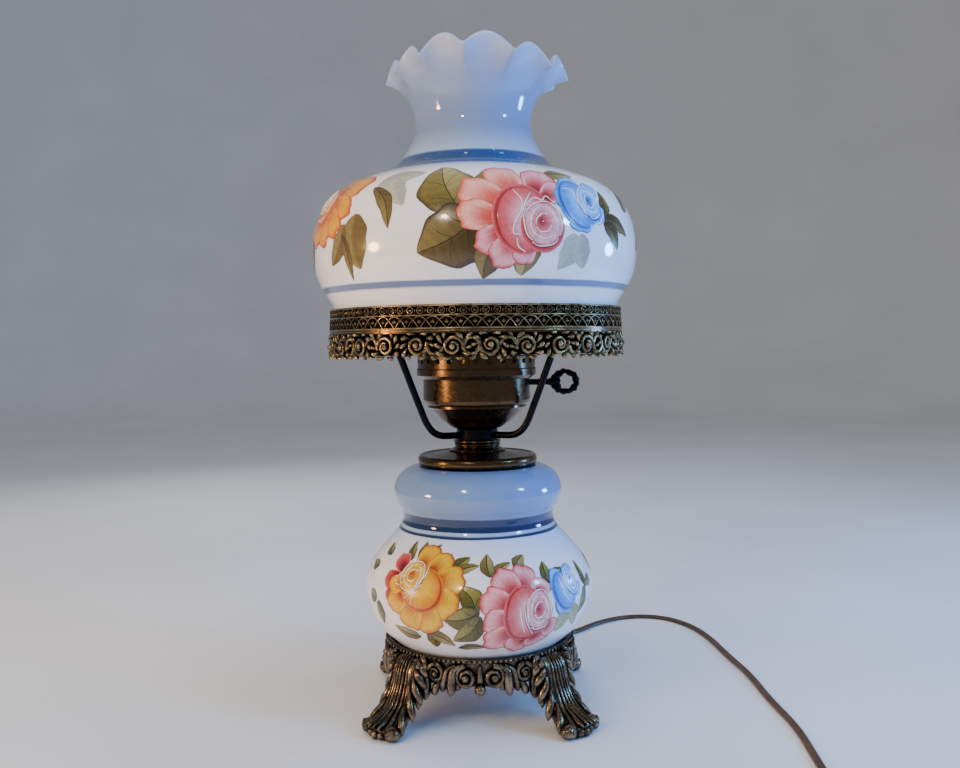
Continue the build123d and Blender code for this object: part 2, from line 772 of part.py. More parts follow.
# Outside: down from the back of the foot to the surface, round behind the lamp to the right,
# forward past it, and on to the coil
FLOOR_Z = CORD_RADIUS
cord_route = [
    cord_joint,
    cord_joint + 48.0 * exit_heading,
    (48.0, 122.0, 10.0),
    (65.0, 136.5, 3.2),
    (84.0, 150.0, FLOOR_Z),
    (106.0, 177.0, FLOOR_Z),
    (136.0, 195.5, FLOOR_Z),
    (167.0, 192.0, FLOOR_Z),
    (187.0, 166.0, FLOOR_Z),
    (196.0, 129.0, FLOOR_Z),
    (199.0, 84.0, FLOOR_Z),
    (204.5, 38.0, FLOOR_Z),
    (204.0, -12.0, FLOOR_Z),
    (207.5, -62.0, FLOOR_Z),
    (203.0, -110.0, FLOOR_Z),
    (199.0, -162.0, FLOOR_Z),
]
cord_radii = route_radii(cord_route)
print("cord radii", [round(value, 1) for value in cord_radii])
with BuildSketch(Plane.XY) as coil_disc:
    with Locations(COIL_CENTRE):
        Circle(COIL_OUTER)
with BuildPart() as cord_run:
    add(tube(cord_route, cord_radii, CORD_RADIUS).part)
    extrude(coil_disc.sketch, amount=COIL_HEIGHT, mode=Mode.SUBTRACT)
cord_run.part.label = "cord_run"
export_step(cord_run.part, "parts/cord_run.step")

# The spare length, wound into a round coil
with BuildPart() as cord_coil:
    with BuildSketch(Plane.XY):
        with Locations(COIL_CENTRE):
            Circle(COIL_OUTER)
            Circle(COIL_INNER, mode=Mode.SUBTRACT)
    extrude(amount=COIL_HEIGHT)
cord_coil.part.label = "cord_coil"
export_step(cord_coil.part, "parts/cord_coil.step")

# Strap over the coil
TIE_ANGLE = 60.0
TIE_LENGTH = 9.0
TIE_WALL = 1.1
tie_centre = (COIL_INNER + COIL_OUTER) / 2
coil_middle = Vector(*COIL_CENTRE, 0)
tie_plane = Plane(
    origin=coil_middle + Vector(*around(tie_centre, TIE_ANGLE)),
    x_dir=around(1, TIE_ANGLE),
    z_dir=around(1, TIE_ANGLE + 90),
)
coil_width = COIL_OUTER - COIL_INNER
with BuildPart() as cord_tie:
    with BuildSketch(tie_plane):
        with Locations((0.0, -(COIL_HEIGHT + TIE_WALL) / 2)):
            Rectangle(coil_width + 2 * TIE_WALL + 1.0, COIL_HEIGHT + TIE_WALL)
        with Locations((0.0, -COIL_HEIGHT / 2)):
            Rectangle(coil_width + 1.0, COIL_HEIGHT, mode=Mode.SUBTRACT)
    extrude(amount=TIE_LENGTH / 2, both=True)
cord_tie.part.label = "cord_tie"
export_step(cord_tie.part, "parts/cord_tie.step")

# The last stretch, from the coil to the plug
PLUG_START = (262.0, -238.0, 5.5)
tail_route = [
    (224.0, -228.5, FLOOR_Z),
    (236.5, -230.5, FLOOR_Z),
    (248.5, -233.7, 5.5),
    PLUG_START,
]
tail_radii = route_radii(tail_route)
print("tail radii", [round(value, 1) for value in tail_radii])
with BuildPart() as cord_tail:
    add(tube(tail_route, tail_radii, CORD_RADIUS).part)
    extrude(coil_disc.sketch, amount=COIL_HEIGHT, mode=Mode.SUBTRACT)
cord_tail.part.label = "cord_tail"
export_step(cord_tail.part, "parts/cord_tail.step")

# Moulded two-blade plug lying flat
PLUG_LENGTH = 27.0
plug_angle = math.degrees(math.atan2(PLUG_START[1] - tail_route[2][1], PLUG_START[0] - tail_route[2][0]))
plug_plane = Plane(origin=PLUG_START, x_dir=around(1, plug_angle + 90), z_dir=around(1, plug_angle))
with BuildPart() as plug_body:
    with BuildSketch(plug_plane):
        RectangleRounded(11.0, 9.0, 3.0)
    with BuildSketch(plug_plane.offset(9.0)):
        RectangleRounded(22.0, 11.0, 4.0)
    loft()
    with BuildSketch(plug_plane.offset(9.0)):
        RectangleRounded(22.0, 11.0, 4.0)
    extrude(amount=PLUG_LENGTH - 9.0)
plug_body.part.label = "plug_body"
export_step(plug_body.part, "parts/plug_body.step")

BLADE_SPACING = 12.7
with BuildPart() as plug_blades:
    with BuildSketch(plug_plane.offset(PLUG_LENGTH)):
        with Locations((-BLADE_SPACING / 2, 0.0)):
            Rectangle(1.5, 7.9)
        with Locations((BLADE_SPACING / 2, 0.0)):
            Rectangle(1.5, 6.3)
    extrude(amount=17.0)
plug_blades.part.label = "plug_blades"
export_step(plug_blades.part, "parts/plug_blades.step")
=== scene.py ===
"""Looks of an electric parlour lamp in the shape of an oil lamp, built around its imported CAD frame.

Lengths in the building code are millimetres, and angles about the lamp's axis are degrees from the
front (-Y), positive towards +X. Everything is turned into metres where a mesh is made.
"""

import json
import math

import bpy
import numpy as np
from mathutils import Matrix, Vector


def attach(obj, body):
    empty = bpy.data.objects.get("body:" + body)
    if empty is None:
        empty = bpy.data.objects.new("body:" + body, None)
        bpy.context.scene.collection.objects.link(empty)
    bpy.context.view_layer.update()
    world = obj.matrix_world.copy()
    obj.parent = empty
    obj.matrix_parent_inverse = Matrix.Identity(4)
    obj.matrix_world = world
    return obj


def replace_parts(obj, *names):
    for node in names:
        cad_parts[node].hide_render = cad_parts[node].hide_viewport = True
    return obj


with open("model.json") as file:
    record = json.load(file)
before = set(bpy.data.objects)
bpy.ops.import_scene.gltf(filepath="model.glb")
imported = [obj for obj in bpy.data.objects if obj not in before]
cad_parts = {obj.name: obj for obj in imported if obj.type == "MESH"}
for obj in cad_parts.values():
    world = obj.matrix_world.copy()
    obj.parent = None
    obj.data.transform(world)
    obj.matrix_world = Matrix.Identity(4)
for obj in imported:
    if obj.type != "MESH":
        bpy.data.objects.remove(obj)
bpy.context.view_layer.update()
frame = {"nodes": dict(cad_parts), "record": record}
nodes = frame["nodes"]

MM = 0.001
TAU = 2 * math.pi


# ---- Small helpers ------------------------------------------------------------------------


def linear(colour):
    """Eight-bit display values as scene-linear ones."""
    shown = np.asarray(colour, float) / 255.0
    return np.where(shown <= 0.04045, shown / 12.92, ((shown + 0.055) / 1.055) ** 2.4)


def ellipse(radius_across, radius_up, turn):
    """Flat points (across, up) at the given angles, in radians, round an ellipse about the origin."""
    return np.stack([radius_across * np.cos(turn), radius_up * np.sin(turn)], 1)


def full_turn(count):
    """Evenly spaced angles in radians, once round."""
    return np.arange(count) / count * TAU


def directions(line):
    """The unit direction of a line at each of its points."""
    along = np.gradient(line, axis=0)
    return along / np.linalg.norm(along, axis=1)[:, None]


def square_to(line):
    """Unit directions square to a flat line at each of its points, to its left."""
    along = directions(line)
    return np.stack([-along[:, 1], along[:, 0]], 1)


def columns_at(share, places, table):
    """Each column of a table, read between its rows."""
    return [np.interp(share, places, column) for column in np.transpose(table)]


def swollen(wave, power):
    """A wave between -1 and 1 with its sides filled out (a power below 1) and its sign kept."""
    return np.sign(wave) * np.abs(wave) ** power


def smooth_line(points, per_span=12):
    """A curve through the points, as rows of an array."""
    given = np.array(points, float)
    padded = np.vstack([2 * given[0] - given[1], given, 2 * given[-1] - given[-2]])
    rows = []
    for index in range(1, len(padded) - 2):
        before, start, end, after = padded[index - 1 : index + 3]
        for step in range(per_span):
            t = step / per_span
            square = (2 * before - 5 * start + 4 * end - after) * t**2
            cube = (3 * start - before - 3 * end + after) * t**3
            rows.append(0.5 * (2 * start + (end - before) * t + square + cube))
    rows.append(padded[-2])
    return np.array(rows)


# ---- Materials ----------------------------------------------------------------------------


class Finish:
    """A principled material with short ways to add the nodes that this lamp needs."""

    def __init__(self, name, colour, roughness, metallic=0.0, **constants):
        self.material = bpy.data.materials.new(name)
        self.material.use_nodes = True
        self.tree = self.material.node_tree
        self.shader = self.tree.nodes["Principled BSDF"]
        self.set("Base Color", [*linear(colour), 1.0])
        self.set("Roughness", roughness)
        self.set("Metallic", metallic)
        for socket, value in constants.items():
            self.set(socket.replace("_", " "), value)

    def set(self, socket, value):
        self.shader.inputs[socket].default_value = value

    def node(self, kind, **values):
        made = self.tree.nodes.new(kind)
        for key, value in values.items():
            if key in made.inputs:
                made.inputs[key].default_value = value
            else:
                setattr(made, key, value)
        return made

    def join(self, source, target):
        self.tree.links.new(source, target)

    def place(self):
        """Coordinates on the piece, in metres, the same at every pose."""
        return self.node("ShaderNodeTexCoord").outputs["Object"]

    def noise(self, scale, detail=3.0, vector=None):
        made = self.node("ShaderNodeTexNoise", Scale=scale, Detail=detail, Roughness=0.55)
        self.join(vector or self.place(), made.inputs["Vector"])
        return made.outputs["Fac"]

    def ramp(self, factor, stops):
        made = self.node("ShaderNodeValToRGB")
        while len(made.color_ramp.elements) < len(stops):
            made.color_ramp.elements.new(0.5)
        for element, (position, colour) in zip(made.color_ramp.elements, stops):
            element.position = position
            element.color = [*linear(colour), 1.0]
        self.join(factor, made.inputs["Fac"])
        return made.outputs["Color"]

    def grey(self, factor, low, high, out_low, out_high):
        made = self.node("ShaderNodeMapRange")
        limits = {"From Min": low, "From Max": high, "To Min": out_low, "To Max": out_high}
        for socket, value in limits.items():
            made.inputs[socket].default_value = value
        self.join(factor, made.inputs["Value"])
        return made.outputs["Result"]

    def multiply_add(self, value, factor, added):
        made = self.node("ShaderNodeMath", operation="MULTIPLY_ADD")
        self.join(value, made.inputs[0])
        made.inputs[1].default_value = factor
        self.join(added, made.inputs[2])
        return made.outputs["Value"]

    def tinted(self, strength, colour, tint):
        """A colour multiplied by a tint, as far as the strength says."""
        made = self.node("ShaderNodeMix", data_type="RGBA", blend_type="MULTIPLY")
        factor, first, second = [i for i in made.inputs if i.enabled]
        factor.default_value = strength
        self.join(colour, first)
        self.join(tint, second)
        return [o for o in made.outputs if o.enabled][0]

    def colour(self, source):
        self.join(source, self.shader.inputs["Base Color"])

    def mottle(self, scale, detail, low, dark, high, light):
        """A colour that wanders from dark to light in clouds."""
        self.colour(self.ramp(self.noise(scale, detail), [(low, dark), (high, light)]))

    def rough(self, scale, low, high):
        """Roughness that wanders between two values in clouds."""
        self.join(self.grey(self.noise(scale), 0.3, 0.7, low, high), self.shader.inputs["Roughness"])

    def bump(self, height, strength, distance):
        made = self.node("ShaderNodeBump", Strength=strength, Distance=distance)
        self.join(height, made.inputs["Height"])
        self.join(made.outputs["Normal"], self.shader.inputs["Normal"])

    def grain(self, scale, detail, strength, distance):
        self.bump(self.noise(scale, detail), strength, distance)


def antique_metal(name, dark, middle, bright, roughness, wear=0.5):
    """Plated metal with dark wash left in its hollows and its raised edges rubbed bright."""
    finish = Finish(name, middle, roughness, metallic=1.0)
    hollow = finish.node("ShaderNodeAmbientOcclusion", samples=6, Distance=0.0035)
    worn = finish.multiply_add(finish.noise(160.0, detail=5.0), wear, hollow.outputs["AO"])
    patina = [(0.0, dark), (0.45, middle), (0.8, middle), (1.0, bright)]
    finish.colour(finish.ramp(finish.grey(worn, 0.55, 1.3, 0.0, 1.0), patina))
    finish.rough(420.0, roughness - 0.05, roughness + 0.1)
    finish.grain(700.0, 2.0, 0.05, 0.0003)
    return finish.material


def banded_glass(name, low, high, stops):
    """Opal glass whose fired colour bands are set by height, between two heights in millimetres."""
    finish = Finish(
        name, (232, 230, 232), 0.09, Specular_IOR_Level=0.6, Coat_Weight=0.5, Coat_Roughness=0.03
    )
    finish.set("Subsurface Weight", 0.18)
    finish.set("Subsurface Radius", (0.006, 0.006, 0.007))
    finish.set("Subsurface Scale", 0.5)
    height = finish.node("ShaderNodeSeparateXYZ")
    finish.join(finish.place(), height.inputs["Vector"])
    stretched = finish.node("ShaderNodeMapping", Scale=(1.0, 1.0, 8.0))
    finish.join(finish.place(), stretched.inputs["Vector"])
    brushed = finish.noise(24.0, vector=stretched.outputs["Vector"])
    wander = finish.multiply_add(brushed, 1.2 * MM, height.outputs["Z"])
    span = high - low
    placed = [((z - low) / span, colour) for z, colour in stops]
    banding = finish.ramp(finish.grey(wander, low * MM, high * MM, 0.0, 1.0), placed)
    streaks = finish.ramp(brushed, [(0.3, (214, 214, 218)), (0.7, (255, 255, 255))])
    finish.colour(finish.tinted(0.16, banding, streaks))
    finish.rough(30.0, 0.06, 0.14)
    finish.grain(38.0, 1.0, 0.08, 0.0012)
    return finish.material


GLASS_WHITE = (236, 233, 232)
COBALT = (26, 68, 124)
SLATE = (96, 114, 150)
NAVY = (16, 36, 76)

shade_material = banded_glass(
    "opal_shade",
    262.0,
    464.0,
    [
        (263.0, GLASS_WHITE), (291.0, GLASS_WHITE), (291.6, SLATE), (295.2, SLATE),
        (295.8, GLASS_WHITE), (373.7, GLASS_WHITE), (374.3, COBALT), (378.5, (20, 54, 104)),
        (385.6, COBALT), (386.4, (162, 184, 212)), (404.0, (122, 142, 176)), (436.0, (138, 156, 190)),
        (463.0, (188, 194, 214)),
    ],
)
font_material = banded_glass(
    "opal_font",
    42.0,
    170.0,
    [
        (43.0, GLASS_WHITE), (112.0, GLASS_WHITE), (124.0, (206, 220, 240)), (126.0, (196, 212, 236)),
        (126.4, NAVY), (127.9, NAVY), (128.3, (156, 178, 212)), (130.0, (156, 178, 212)), (130.4, NAVY),
        (138.8, (20, 42, 84)), (139.3, (118, 142, 180)), (169.0, (112, 142, 186)),
    ],
)
casting_material = antique_metal("antique_casting", (7, 6, 6), (62, 54, 46), (150, 132, 108), 0.24)
spun_material = antique_metal("spun_bronze", (18, 13, 9), (92, 72, 50), (150, 114, 76), 0.22, 0.1)
dark_material = antique_metal("dark_bronze", (9, 9, 10), (26, 25, 28), (78, 78, 84), 0.26, 0.2)
# Near-black ground behind the band's and skirt's raised work: painted shade where their gaps fall dark
recess_shadow_material = antique_metal("painted_recess_shadow", (8, 7, 5), (24, 20, 14), (46, 38, 28), 0.5, 0.2)


# ---- Camera, light and floor --------------------------------------------------------------

EYE_RIGHT = 2.9
EYE_DISTANCE = 684.0
EYE_HEIGHT = 256.0
EYE_ROLL = 0.76
SENSOR_WIDTH = 36.0
LENS = 35.625
HORIZON_SHIFT = -0.042708


def make_camera():
    camera = bpy.data.cameras.new("camera")
    camera.sensor_width = SENSOR_WIDTH
    camera.lens = LENS
    camera.shift_y = HORIZON_SHIFT
    camera.clip_start = 0.02
    holder = bpy.data.objects.new("camera", camera)
    holder.location = (EYE_RIGHT * MM, -EYE_DISTANCE * MM, EYE_HEIGHT * MM)
    holder.rotation_euler = (math.radians(90.0), math.radians(EYE_ROLL), 0.0)
    bpy.context.scene.collection.objects.link(holder)
    bpy.context.scene.camera = holder


# Name, place and size in metres, power, tint and whether it shows in reflections
LIGHTS = [
    ("spot_left", (-0.42, -1.15, 0.95), 0.1, 3.2, (255, 238, 212), True),
    ("spot_right", (1.05, -0.5, 0.75), 0.14, 4.0, (120, 200, 255), True),
    ("rim_right", (1.1, 0.2, 0.3), 0.18, 6.0, (104, 168, 255), True),
    ("glow_left", (-1.05, -0.42, 0.3), 0.16, 4.5, (255, 196, 132), True),
    ("soft_left", (-0.9, -0.9, 0.6), 0.8, 11.0, (255, 236, 216), False),
    ("soft_right", (1.1, -0.5, 0.5), 0.8, 17.0, (84, 154, 255), False),
    ("soft_top", (0.1, -0.1, 1.3), 0.9, 6.5, (232, 238, 255), False),
    ("soft_back", (-0.5, 1.0, 0.8), 0.8, 5.0, (246, 244, 255), False),
]


def make_studio():
    middle = Vector((0.0, 0.0, 0.24))
    for name, place, size, power, tint, glossy in LIGHTS:
        light = bpy.data.lights.new(name, "AREA")
        light.shape = "DISK"
        light.size = size
        light.energy = power
        light.color = linear(tint)
        holder = bpy.data.objects.new(name, light)
        holder.location = place
        holder.rotation_euler = (middle - Vector(place)).to_track_quat("-Z", "Y").to_euler()
        holder.visible_glossy = glossy
        bpy.context.scene.collection.objects.link(holder)
    world = bpy.data.worlds.new("studio")
    world.use_nodes = True
    background = world.node_tree.nodes["Background"]
    background.inputs["Color"].default_value = (0.8, 0.84, 0.9, 1.0)
    background.inputs["Strength"].default_value = 0.4
    bpy.context.scene.world = world


def make_floor():
    """A sheet that lies flat under the lamp and its cord, then sweeps up far off on every side."""
    flat, bend, wall, columns = 2.6, 1.3, 2.6, 128
    rise = np.linspace(0.0, math.pi / 2, 25)
    sweep = [(flat + bend * math.sin(t), bend - bend * math.cos(t)) for t in rise]
    outline = [(0.02, 0.0), *sweep, (flat + bend, wall)]
    turn = full_turn(columns)
    points = [(out * math.cos(t), out * math.sin(t), up) for out, up in outline for t in turn]
    faces = [list(range(columns))]
    for ring in range(len(outline) - 1):
        for column in range(columns):
            beside = (column + 1) % columns
            low, high = ring * columns, (ring + 1) * columns
            faces.append((low + column, high + column, high + beside, low + beside))
    mesh = bpy.data.meshes.new("floor")
    mesh.from_pydata(points, [], faces)
    mesh.shade_smooth()
    floor = bpy.data.objects.new("floor", mesh)
    floor.location.z = -0.0001
    bpy.context.scene.collection.objects.link(floor)
    finish = Finish("floor", (222, 221, 218), 0.6)
    finish.mottle(3.0, 3.0, 0.3, (216, 215, 212), 0.7, (226, 225, 222))
    mesh.materials.append(finish.material)


make_camera()
make_studio()
make_floor()


# ---- Mesh building ------------------------------------------------------------------------


def turned_rows(radii, heights, columns):
    """Rings of points about the vertical axis, one for each radius and height."""
    turn = full_turn(columns)
    rings = [np.outer(radii, np.cos(turn)), np.outer(radii, np.sin(turn))]
    return np.stack([*rings, np.repeat(heights[:, None], columns, 1)], 2)


class Build:
    """Collects closed shapes, in millimetres, into one mesh."""

    def __init__(self):
        self.points = []
        self.faces = []
        self.count = 0
        self.starts = [0]

    def add(self, points, faces):
        points = np.asarray(points, float)
        faces = np.asarray(faces, int)
        self.points.append(points)
        self.faces.extend((faces + self.count).tolist())
        self.count += len(points)

    def grid(self, rows, wrap_rows=False, wrap_columns=False):
        """A surface through an array of points, rows by columns."""
        height, width = rows.shape[:2]
        row = np.arange(height if wrap_rows else height - 1)
        column = np.arange(width if wrap_columns else width - 1)
        row, column = [a.ravel() for a in np.meshgrid(row, column, indexing="ij")]
        below = (row + 1) % height
        beside = (column + 1) % width
        top, bottom = row * width, below * width
        faces = np.stack([top + column, top + beside, bottom + beside, bottom + column], 1)
        self.add(rows.reshape(-1, 3), faces)

    def closed_grid(self, rows):
        """A surface through rings of points, with a flat face at each end."""
        first, (rings, sides) = self.count, rows.shape[:2]
        self.grid(rows, wrap_columns=True)
        last = first + (rings - 1) * sides
        self.faces.append(list(range(first + sides - 1, first - 1, -1)))
        self.faces.append(list(range(last, last + sides)))

    def tube(self, line, radii, sides=8, flat=1.0, up=(0, 0, 1)):
        """A closed tube along a line. flat narrows it along the direction nearest to up."""
        line = np.asarray(line, float)
        radii = np.broadcast_to(np.asarray(radii, float), (len(line),))
        along = directions(line)
        ups = np.broadcast_to(np.asarray(up, float), line.shape)
        side = np.cross(along, ups)
        side /= np.maximum(np.linalg.norm(side, axis=1), 1e-6)[:, None]
        lift = np.cross(side, along)
        turn = full_turn(sides)
        sideways = side[:, None, :] * (np.cos(turn)[None, :, None] * radii[:, None, None])
        upward = lift[:, None, :] * (np.sin(turn)[None, :, None] * radii[:, None, None] * flat)
        self.closed_grid(line[:, None, :] + sideways + upward)

    def rib(self, line, radii, sides=8):
        """A tube whose section stays square to the lamp's axis."""
        away = np.array(line, float)
        away[:, 2] = 0
        self.tube(line, radii, sides, up=away / np.linalg.norm(away, axis=1)[:, None])

    def ball(self, centre, radius, squash=(1, 1, 1), rings=6, sides=10):
        tilt = np.linspace(0.12, math.pi - 0.12, rings)
        rows = turned_rows(np.sin(tilt), np.cos(tilt), sides)
        self.closed_grid(np.asarray(centre, float) + rows * radius * np.asarray(squash, float))

    def revolve(self, outline, columns=240):
        """A closed outline of (radius, height) turned about the lamp's axis."""
        outline = np.asarray(outline, float)
        self.grid(turned_rows(outline[:, 0], outline[:, 1], columns), wrap_rows=True, wrap_columns=True)

    def next_material(self):
        """What is added from here on takes the next of the piece's materials."""
        self.starts.append(len(self.faces))

    def piece(self, name, materials, body, slot, smooth=True):
        mesh = bpy.data.meshes.new(name)
        points = np.vstack(self.points) * MM
        mesh.from_pydata(points.tolist(), [], self.faces)
        mesh.update()
        for material in materials:
            mesh.materials.append(material)
        chosen = np.searchsorted(self.starts, np.arange(len(self.faces)), side="right") - 1
        mesh.polygons.foreach_set("material_index", chosen.astype(np.int32))
        if smooth:
            mesh.shade_smooth()
        piece = bpy.data.objects.new(name, mesh)
        bpy.context.scene.collection.objects.link(piece)
        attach(piece, body)
        return piece


def around(angle, radius, height):
    """The point at an angle in degrees from the front, a radius and a height."""
    turn = np.radians(angle)
    return np.stack(np.broadcast_arrays(radius * np.sin(turn), -radius * np.cos(turn), height), -1)


# ---- Milk glass ---------------------------------------------------------------------------

SHADE_WALL = 3.4
RUFFLES = 12
RUFFLE_TURN = 12.0 - 180.0 / 12
SHADE_OUTLINE = [
    (100.3, 266.0), (100.3, 272.0), (100.3, 277.0), (101.2, 283.0), (105.0, 289.2), (109.6, 296.8),
    (113.2, 306.5), (114.8, 318.0), (114.2, 330.0), (110.8, 343.0), (104.5, 354.5), (94.0, 363.8),
    (81.0, 370.0), (68.5, 374.2), (59.2, 379.0), (51.8, 386.8), (45.6, 397.0), (41.9, 407.0),
    (41.4, 414.0), (42.6, 420.0), (45.0, 427.5), (49.0, 435.0), (54.0, 441.5), (59.5, 447.8),
    (63.6, 453.6),
]
FONT_WALL = 4.0
FONT_OUTLINE = [
    (49.0, 43.5), (58.0, 46.8), (65.0, 52.3), (70.8, 58.2), (75.6, 65.2), (79.2, 74.5), (80.7, 84.5),
    (79.0, 95.0), (75.0, 103.5), (69.5, 111.0), (63.0, 118.2), (57.3, 124.8), (54.0, 132.0),
    (54.8, 138.5), (58.0, 144.5), (60.1, 152.5), (57.0, 161.5), (50.5, 167.0), (44.0, 169.0),
]
CAP_OUTLINE = [
    (5.1, 178.1), (5.1, 179.5), (18.0, 179.4), (24.0, 178.3), (30.0, 177.2), (35.0, 176.4),
    (38.2, 176.1), (38.9, 176.3), (39.5, 176.8), (40.6, 176.8), (41.7, 176.1), (42.4, 174.9),
    (42.6, 172.8), (42.3, 170.9), (41.5, 169.6), (40.6, 169.0), (37.8, 169.0), (37.8, 174.6),
    (30.0, 175.9), (18.0, 178.0),
]
COLLAR_OUTLINE = [
    (5.1, 179.5), (20.4, 179.5), (19.0, 180.2), (17.2, 181.1), (15.9, 182.0), (15.5, 182.6),
    (15.7, 182.9), (16.4, 183.2), (16.7, 183.8), (16.4, 184.4), (15.7, 184.7), (15.7, 185.0),
    (16.5, 185.3), (16.9, 185.7), (16.9, 186.6), (16.4, 187.0), (5.1, 187.0),
]


def inner_line(line, wall):
    """The line moved in by a wall's thickness."""
    return line + wall * square_to(line)


def ruffle(points, angles):
    """Lifts and pulls the flare into crimped lobes, more towards its rim."""
    start, rim = 424.0, 453.6
    height = points[..., 2]
    share = np.clip((height - start) / (rim - start), 0.0, 1.1) ** 2.5
    uneven = angles - RUFFLE_TURN + 2.0 * np.sin(np.radians(2 * angles + 70))
    wave = 2.1 * (np.sin(np.radians(RUFFLES * uneven / 2)) ** 2 + 0.05) ** 0.32 - 1.4
    side = np.sin(np.radians(angles))
    droop = 3.6 * side**2 * (wave - 1.2)
    sway = np.sin(np.radians(3 * angles + 110)) * 1.4
    radius = np.hypot(points[..., 0], points[..., 1])
    grown = radius - share * (3.2 * wave - sway - 2.4 * side)
    points[..., :2] *= (grown / radius)[..., None]
    points[..., 2] += share * (5.6 * wave + droop + sway - 0.9)
    return points


def make_shade():
    """The glass shade, with a rounded lip round its flare."""
    outer = smooth_line(SHADE_OUTLINE, 6)
    inner = inner_line(outer, SHADE_WALL)[::-1]
    lip = (outer[-1] + inner[0]) / 2 + np.array([1.1, 1.4])
    outline = np.vstack([outer, [lip], inner])
    columns = 300
    angles = np.arange(columns) / columns * 360.0
    rows = around(angles[None, :], outline[:, 0][:, None], outline[:, 1][:, None])
    rows = ruffle(rows, np.broadcast_to(angles, rows.shape[:2]))
    build = Build()
    build.grid(rows, wrap_rows=True, wrap_columns=True)
    piece = build.piece("shade_opal", [shade_material], "shade", "shade_milk_glass")
    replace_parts(piece, "shade_glass")


def make_font():
    outer = smooth_line(FONT_OUTLINE, 10)
    inner = inner_line(outer, FONT_WALL)[::-1]
    outline = np.vstack([[(34.0, 43.6)], outer, [(37.0, 169.0), (37.0, 165.0)], inner, [(34.0, 47.5)]])
    build = Build()
    build.revolve(outline)
    piece = build.piece("font_opal", [font_material], "lamp", "font_milk_glass")
    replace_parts(piece, "font_glass")


def make_cap_and_collar():
    """The dished cap on the font, with a rolled rim, and the stepped collar that stands on it."""
    cap = Build()
    cap.revolve(CAP_OUTLINE, 180)
    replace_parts(cap.piece("spun_cap", [spun_material], "lamp", "antique_brass"), "vase_cap")
    collar = Build()
    collar.revolve(COLLAR_OUTLINE, 120)
    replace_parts(collar.piece("turned_collar", [spun_material], "lamp", "antique_brass"), "neck_collar")


make_shade()
make_font()
make_cap_and_collar()


# ---- Painted flowers ----------------------------------------------------------------------

PAINT_LIFT = 0.07
LAYER_STEP = 0.018
LEAF_LAYERS = 6
PETAL_LAYER = 12
UPPER_PETAL_LAYER = 25
ENAMEL_LIFT = 0.74
PAINT_EDGE = -0.06
OUTLINE_POINTS = 60
RING_SHARES = np.array([0.03, 0.18, 0.32, 0.45, 0.57, 0.68, 0.78, 0.87, 0.94, 0.98, 1.0])

# Where each tone of a rose's palette comes, from the base of a shape (0) to its rim (1)
PETAL_SHADES = [
    (0.0, "deep"), (0.3, "deep"), (0.5, "mid"), (0.74, "pale"), (0.86, "pale"), (0.955, "edge"),
    (1.0, "line"),
]
HOLLOW_SHADES = [(0.0, "deep"), (0.86, "deep"), (0.95, "mid"), (1.0, "edge")]
CUP_SHADES = [(0.0, "pale"), (0.45, "pale"), (0.8, "mid"), (0.93, "edge"), (1.0, "deep")]
UNDER_SHADES = [(0.0, "line"), (0.8, "deep"), (0.93, "mid"), (1.0, "edge")]
BOWL_SHADES = [(0.0, "deep"), (0.3, "mid"), (0.62, "pale"), (0.9, "pale"), (1.0, "mid")]
ENAMEL = (250, 246, 238)


def rose_colours(deep, mid, pale, edge, line):
    return {"deep": deep, "mid": mid, "pale": pale, "edge": edge, "line": line}


def leaf_colours(light, dark, line):
    return {"light": light, "dark": dark, "line": line}


PINK = rose_colours((150, 34, 40), (214, 92, 90), (238, 166, 166), (216, 88, 84), (128, 18, 28))
PEACH = rose_colours((204, 70, 52), (222, 104, 84), (246, 170, 148), (230, 108, 84), (176, 52, 44))
YELLOW = rose_colours((146, 40, 6), (208, 138, 0), (224, 178, 0), (206, 112, 6), (112, 24, 6))
ORANGE = rose_colours((158, 58, 16), (210, 124, 4), (226, 160, 10), (208, 96, 24), (168, 60, 34))
BLUE = rose_colours((12, 66, 150), (50, 136, 214), (110, 188, 246), (66, 148, 226), (14, 46, 108))
RED = rose_colours((94, 8, 18), (152, 28, 38), (188, 72, 70), (206, 116, 104), (250, 214, 184))
OLIVE = leaf_colours((124, 106, 54), (88, 70, 30), (32, 20, 8))
GOLDEN = leaf_colours((166, 152, 88), (126, 112, 48), (52, 40, 14))
GREEN = leaf_colours((146, 138, 62), (98, 92, 28), (34, 30, 10))
BROWN = leaf_colours((134, 116, 64), (108, 90, 46), (60, 42, 20))
PALE_LEAF = leaf_colours((182, 180, 128), (164, 164, 108), (142, 140, 90))
SHADOW_LEAF = leaf_colours((178, 176, 156), (160, 162, 148), (186, 186, 176))
# White arcs of a rose's heart: from one angle in degrees to another, and shares of its radii there
HEART_ARCS = [
    (165, 60, 0.98, 1.05), (62, -30, 1.0, 0.96), (-40, -125, 1.0, 1.04), (-130, -215, 1.0, 1.08),
    (215, 110, 0.68, 0.74), (80, -20, 0.7, 0.72), (-50, -170, 0.66, 0.7), (190, 70, 0.4, 0.44),
    (-10, -150, 0.36, 0.42),
]


class Chart:
    """Lays a flat drawing, in millimetres right and up from a middle point, on turned glass."""

    def __init__(self, outline):
        self.line = smooth_line(outline, 9)
        steps = np.linalg.norm(np.diff(self.line, axis=0), axis=1)
        self.length = np.concatenate([[0.0], np.cumsum(steps)])
        self.normal = -square_to(self.line)

    def place(self, middle, points, lift):
        angle, height = middle
        points = np.asarray(points, float)
        start = np.interp(height, self.line[:, 1], self.length)
        reach = start + points[..., 1]
        middle_radius = np.interp(start, self.length, self.line[:, 0])
        radius, rise = columns_at(reach, self.length, self.line)
        out, up = columns_at(reach, self.length, self.normal)
        turn = angle + np.degrees(2 * points[..., 0] / (radius + middle_radius))
        return around(turn, radius + out * lift, rise + up * lift)


def turned(points, degrees):
    cosine, sine = math.cos(math.radians(degrees)), math.sin(math.radians(degrees))
    return np.asarray(points, float) @ np.array([[cosine, sine], [-sine, cosine]])


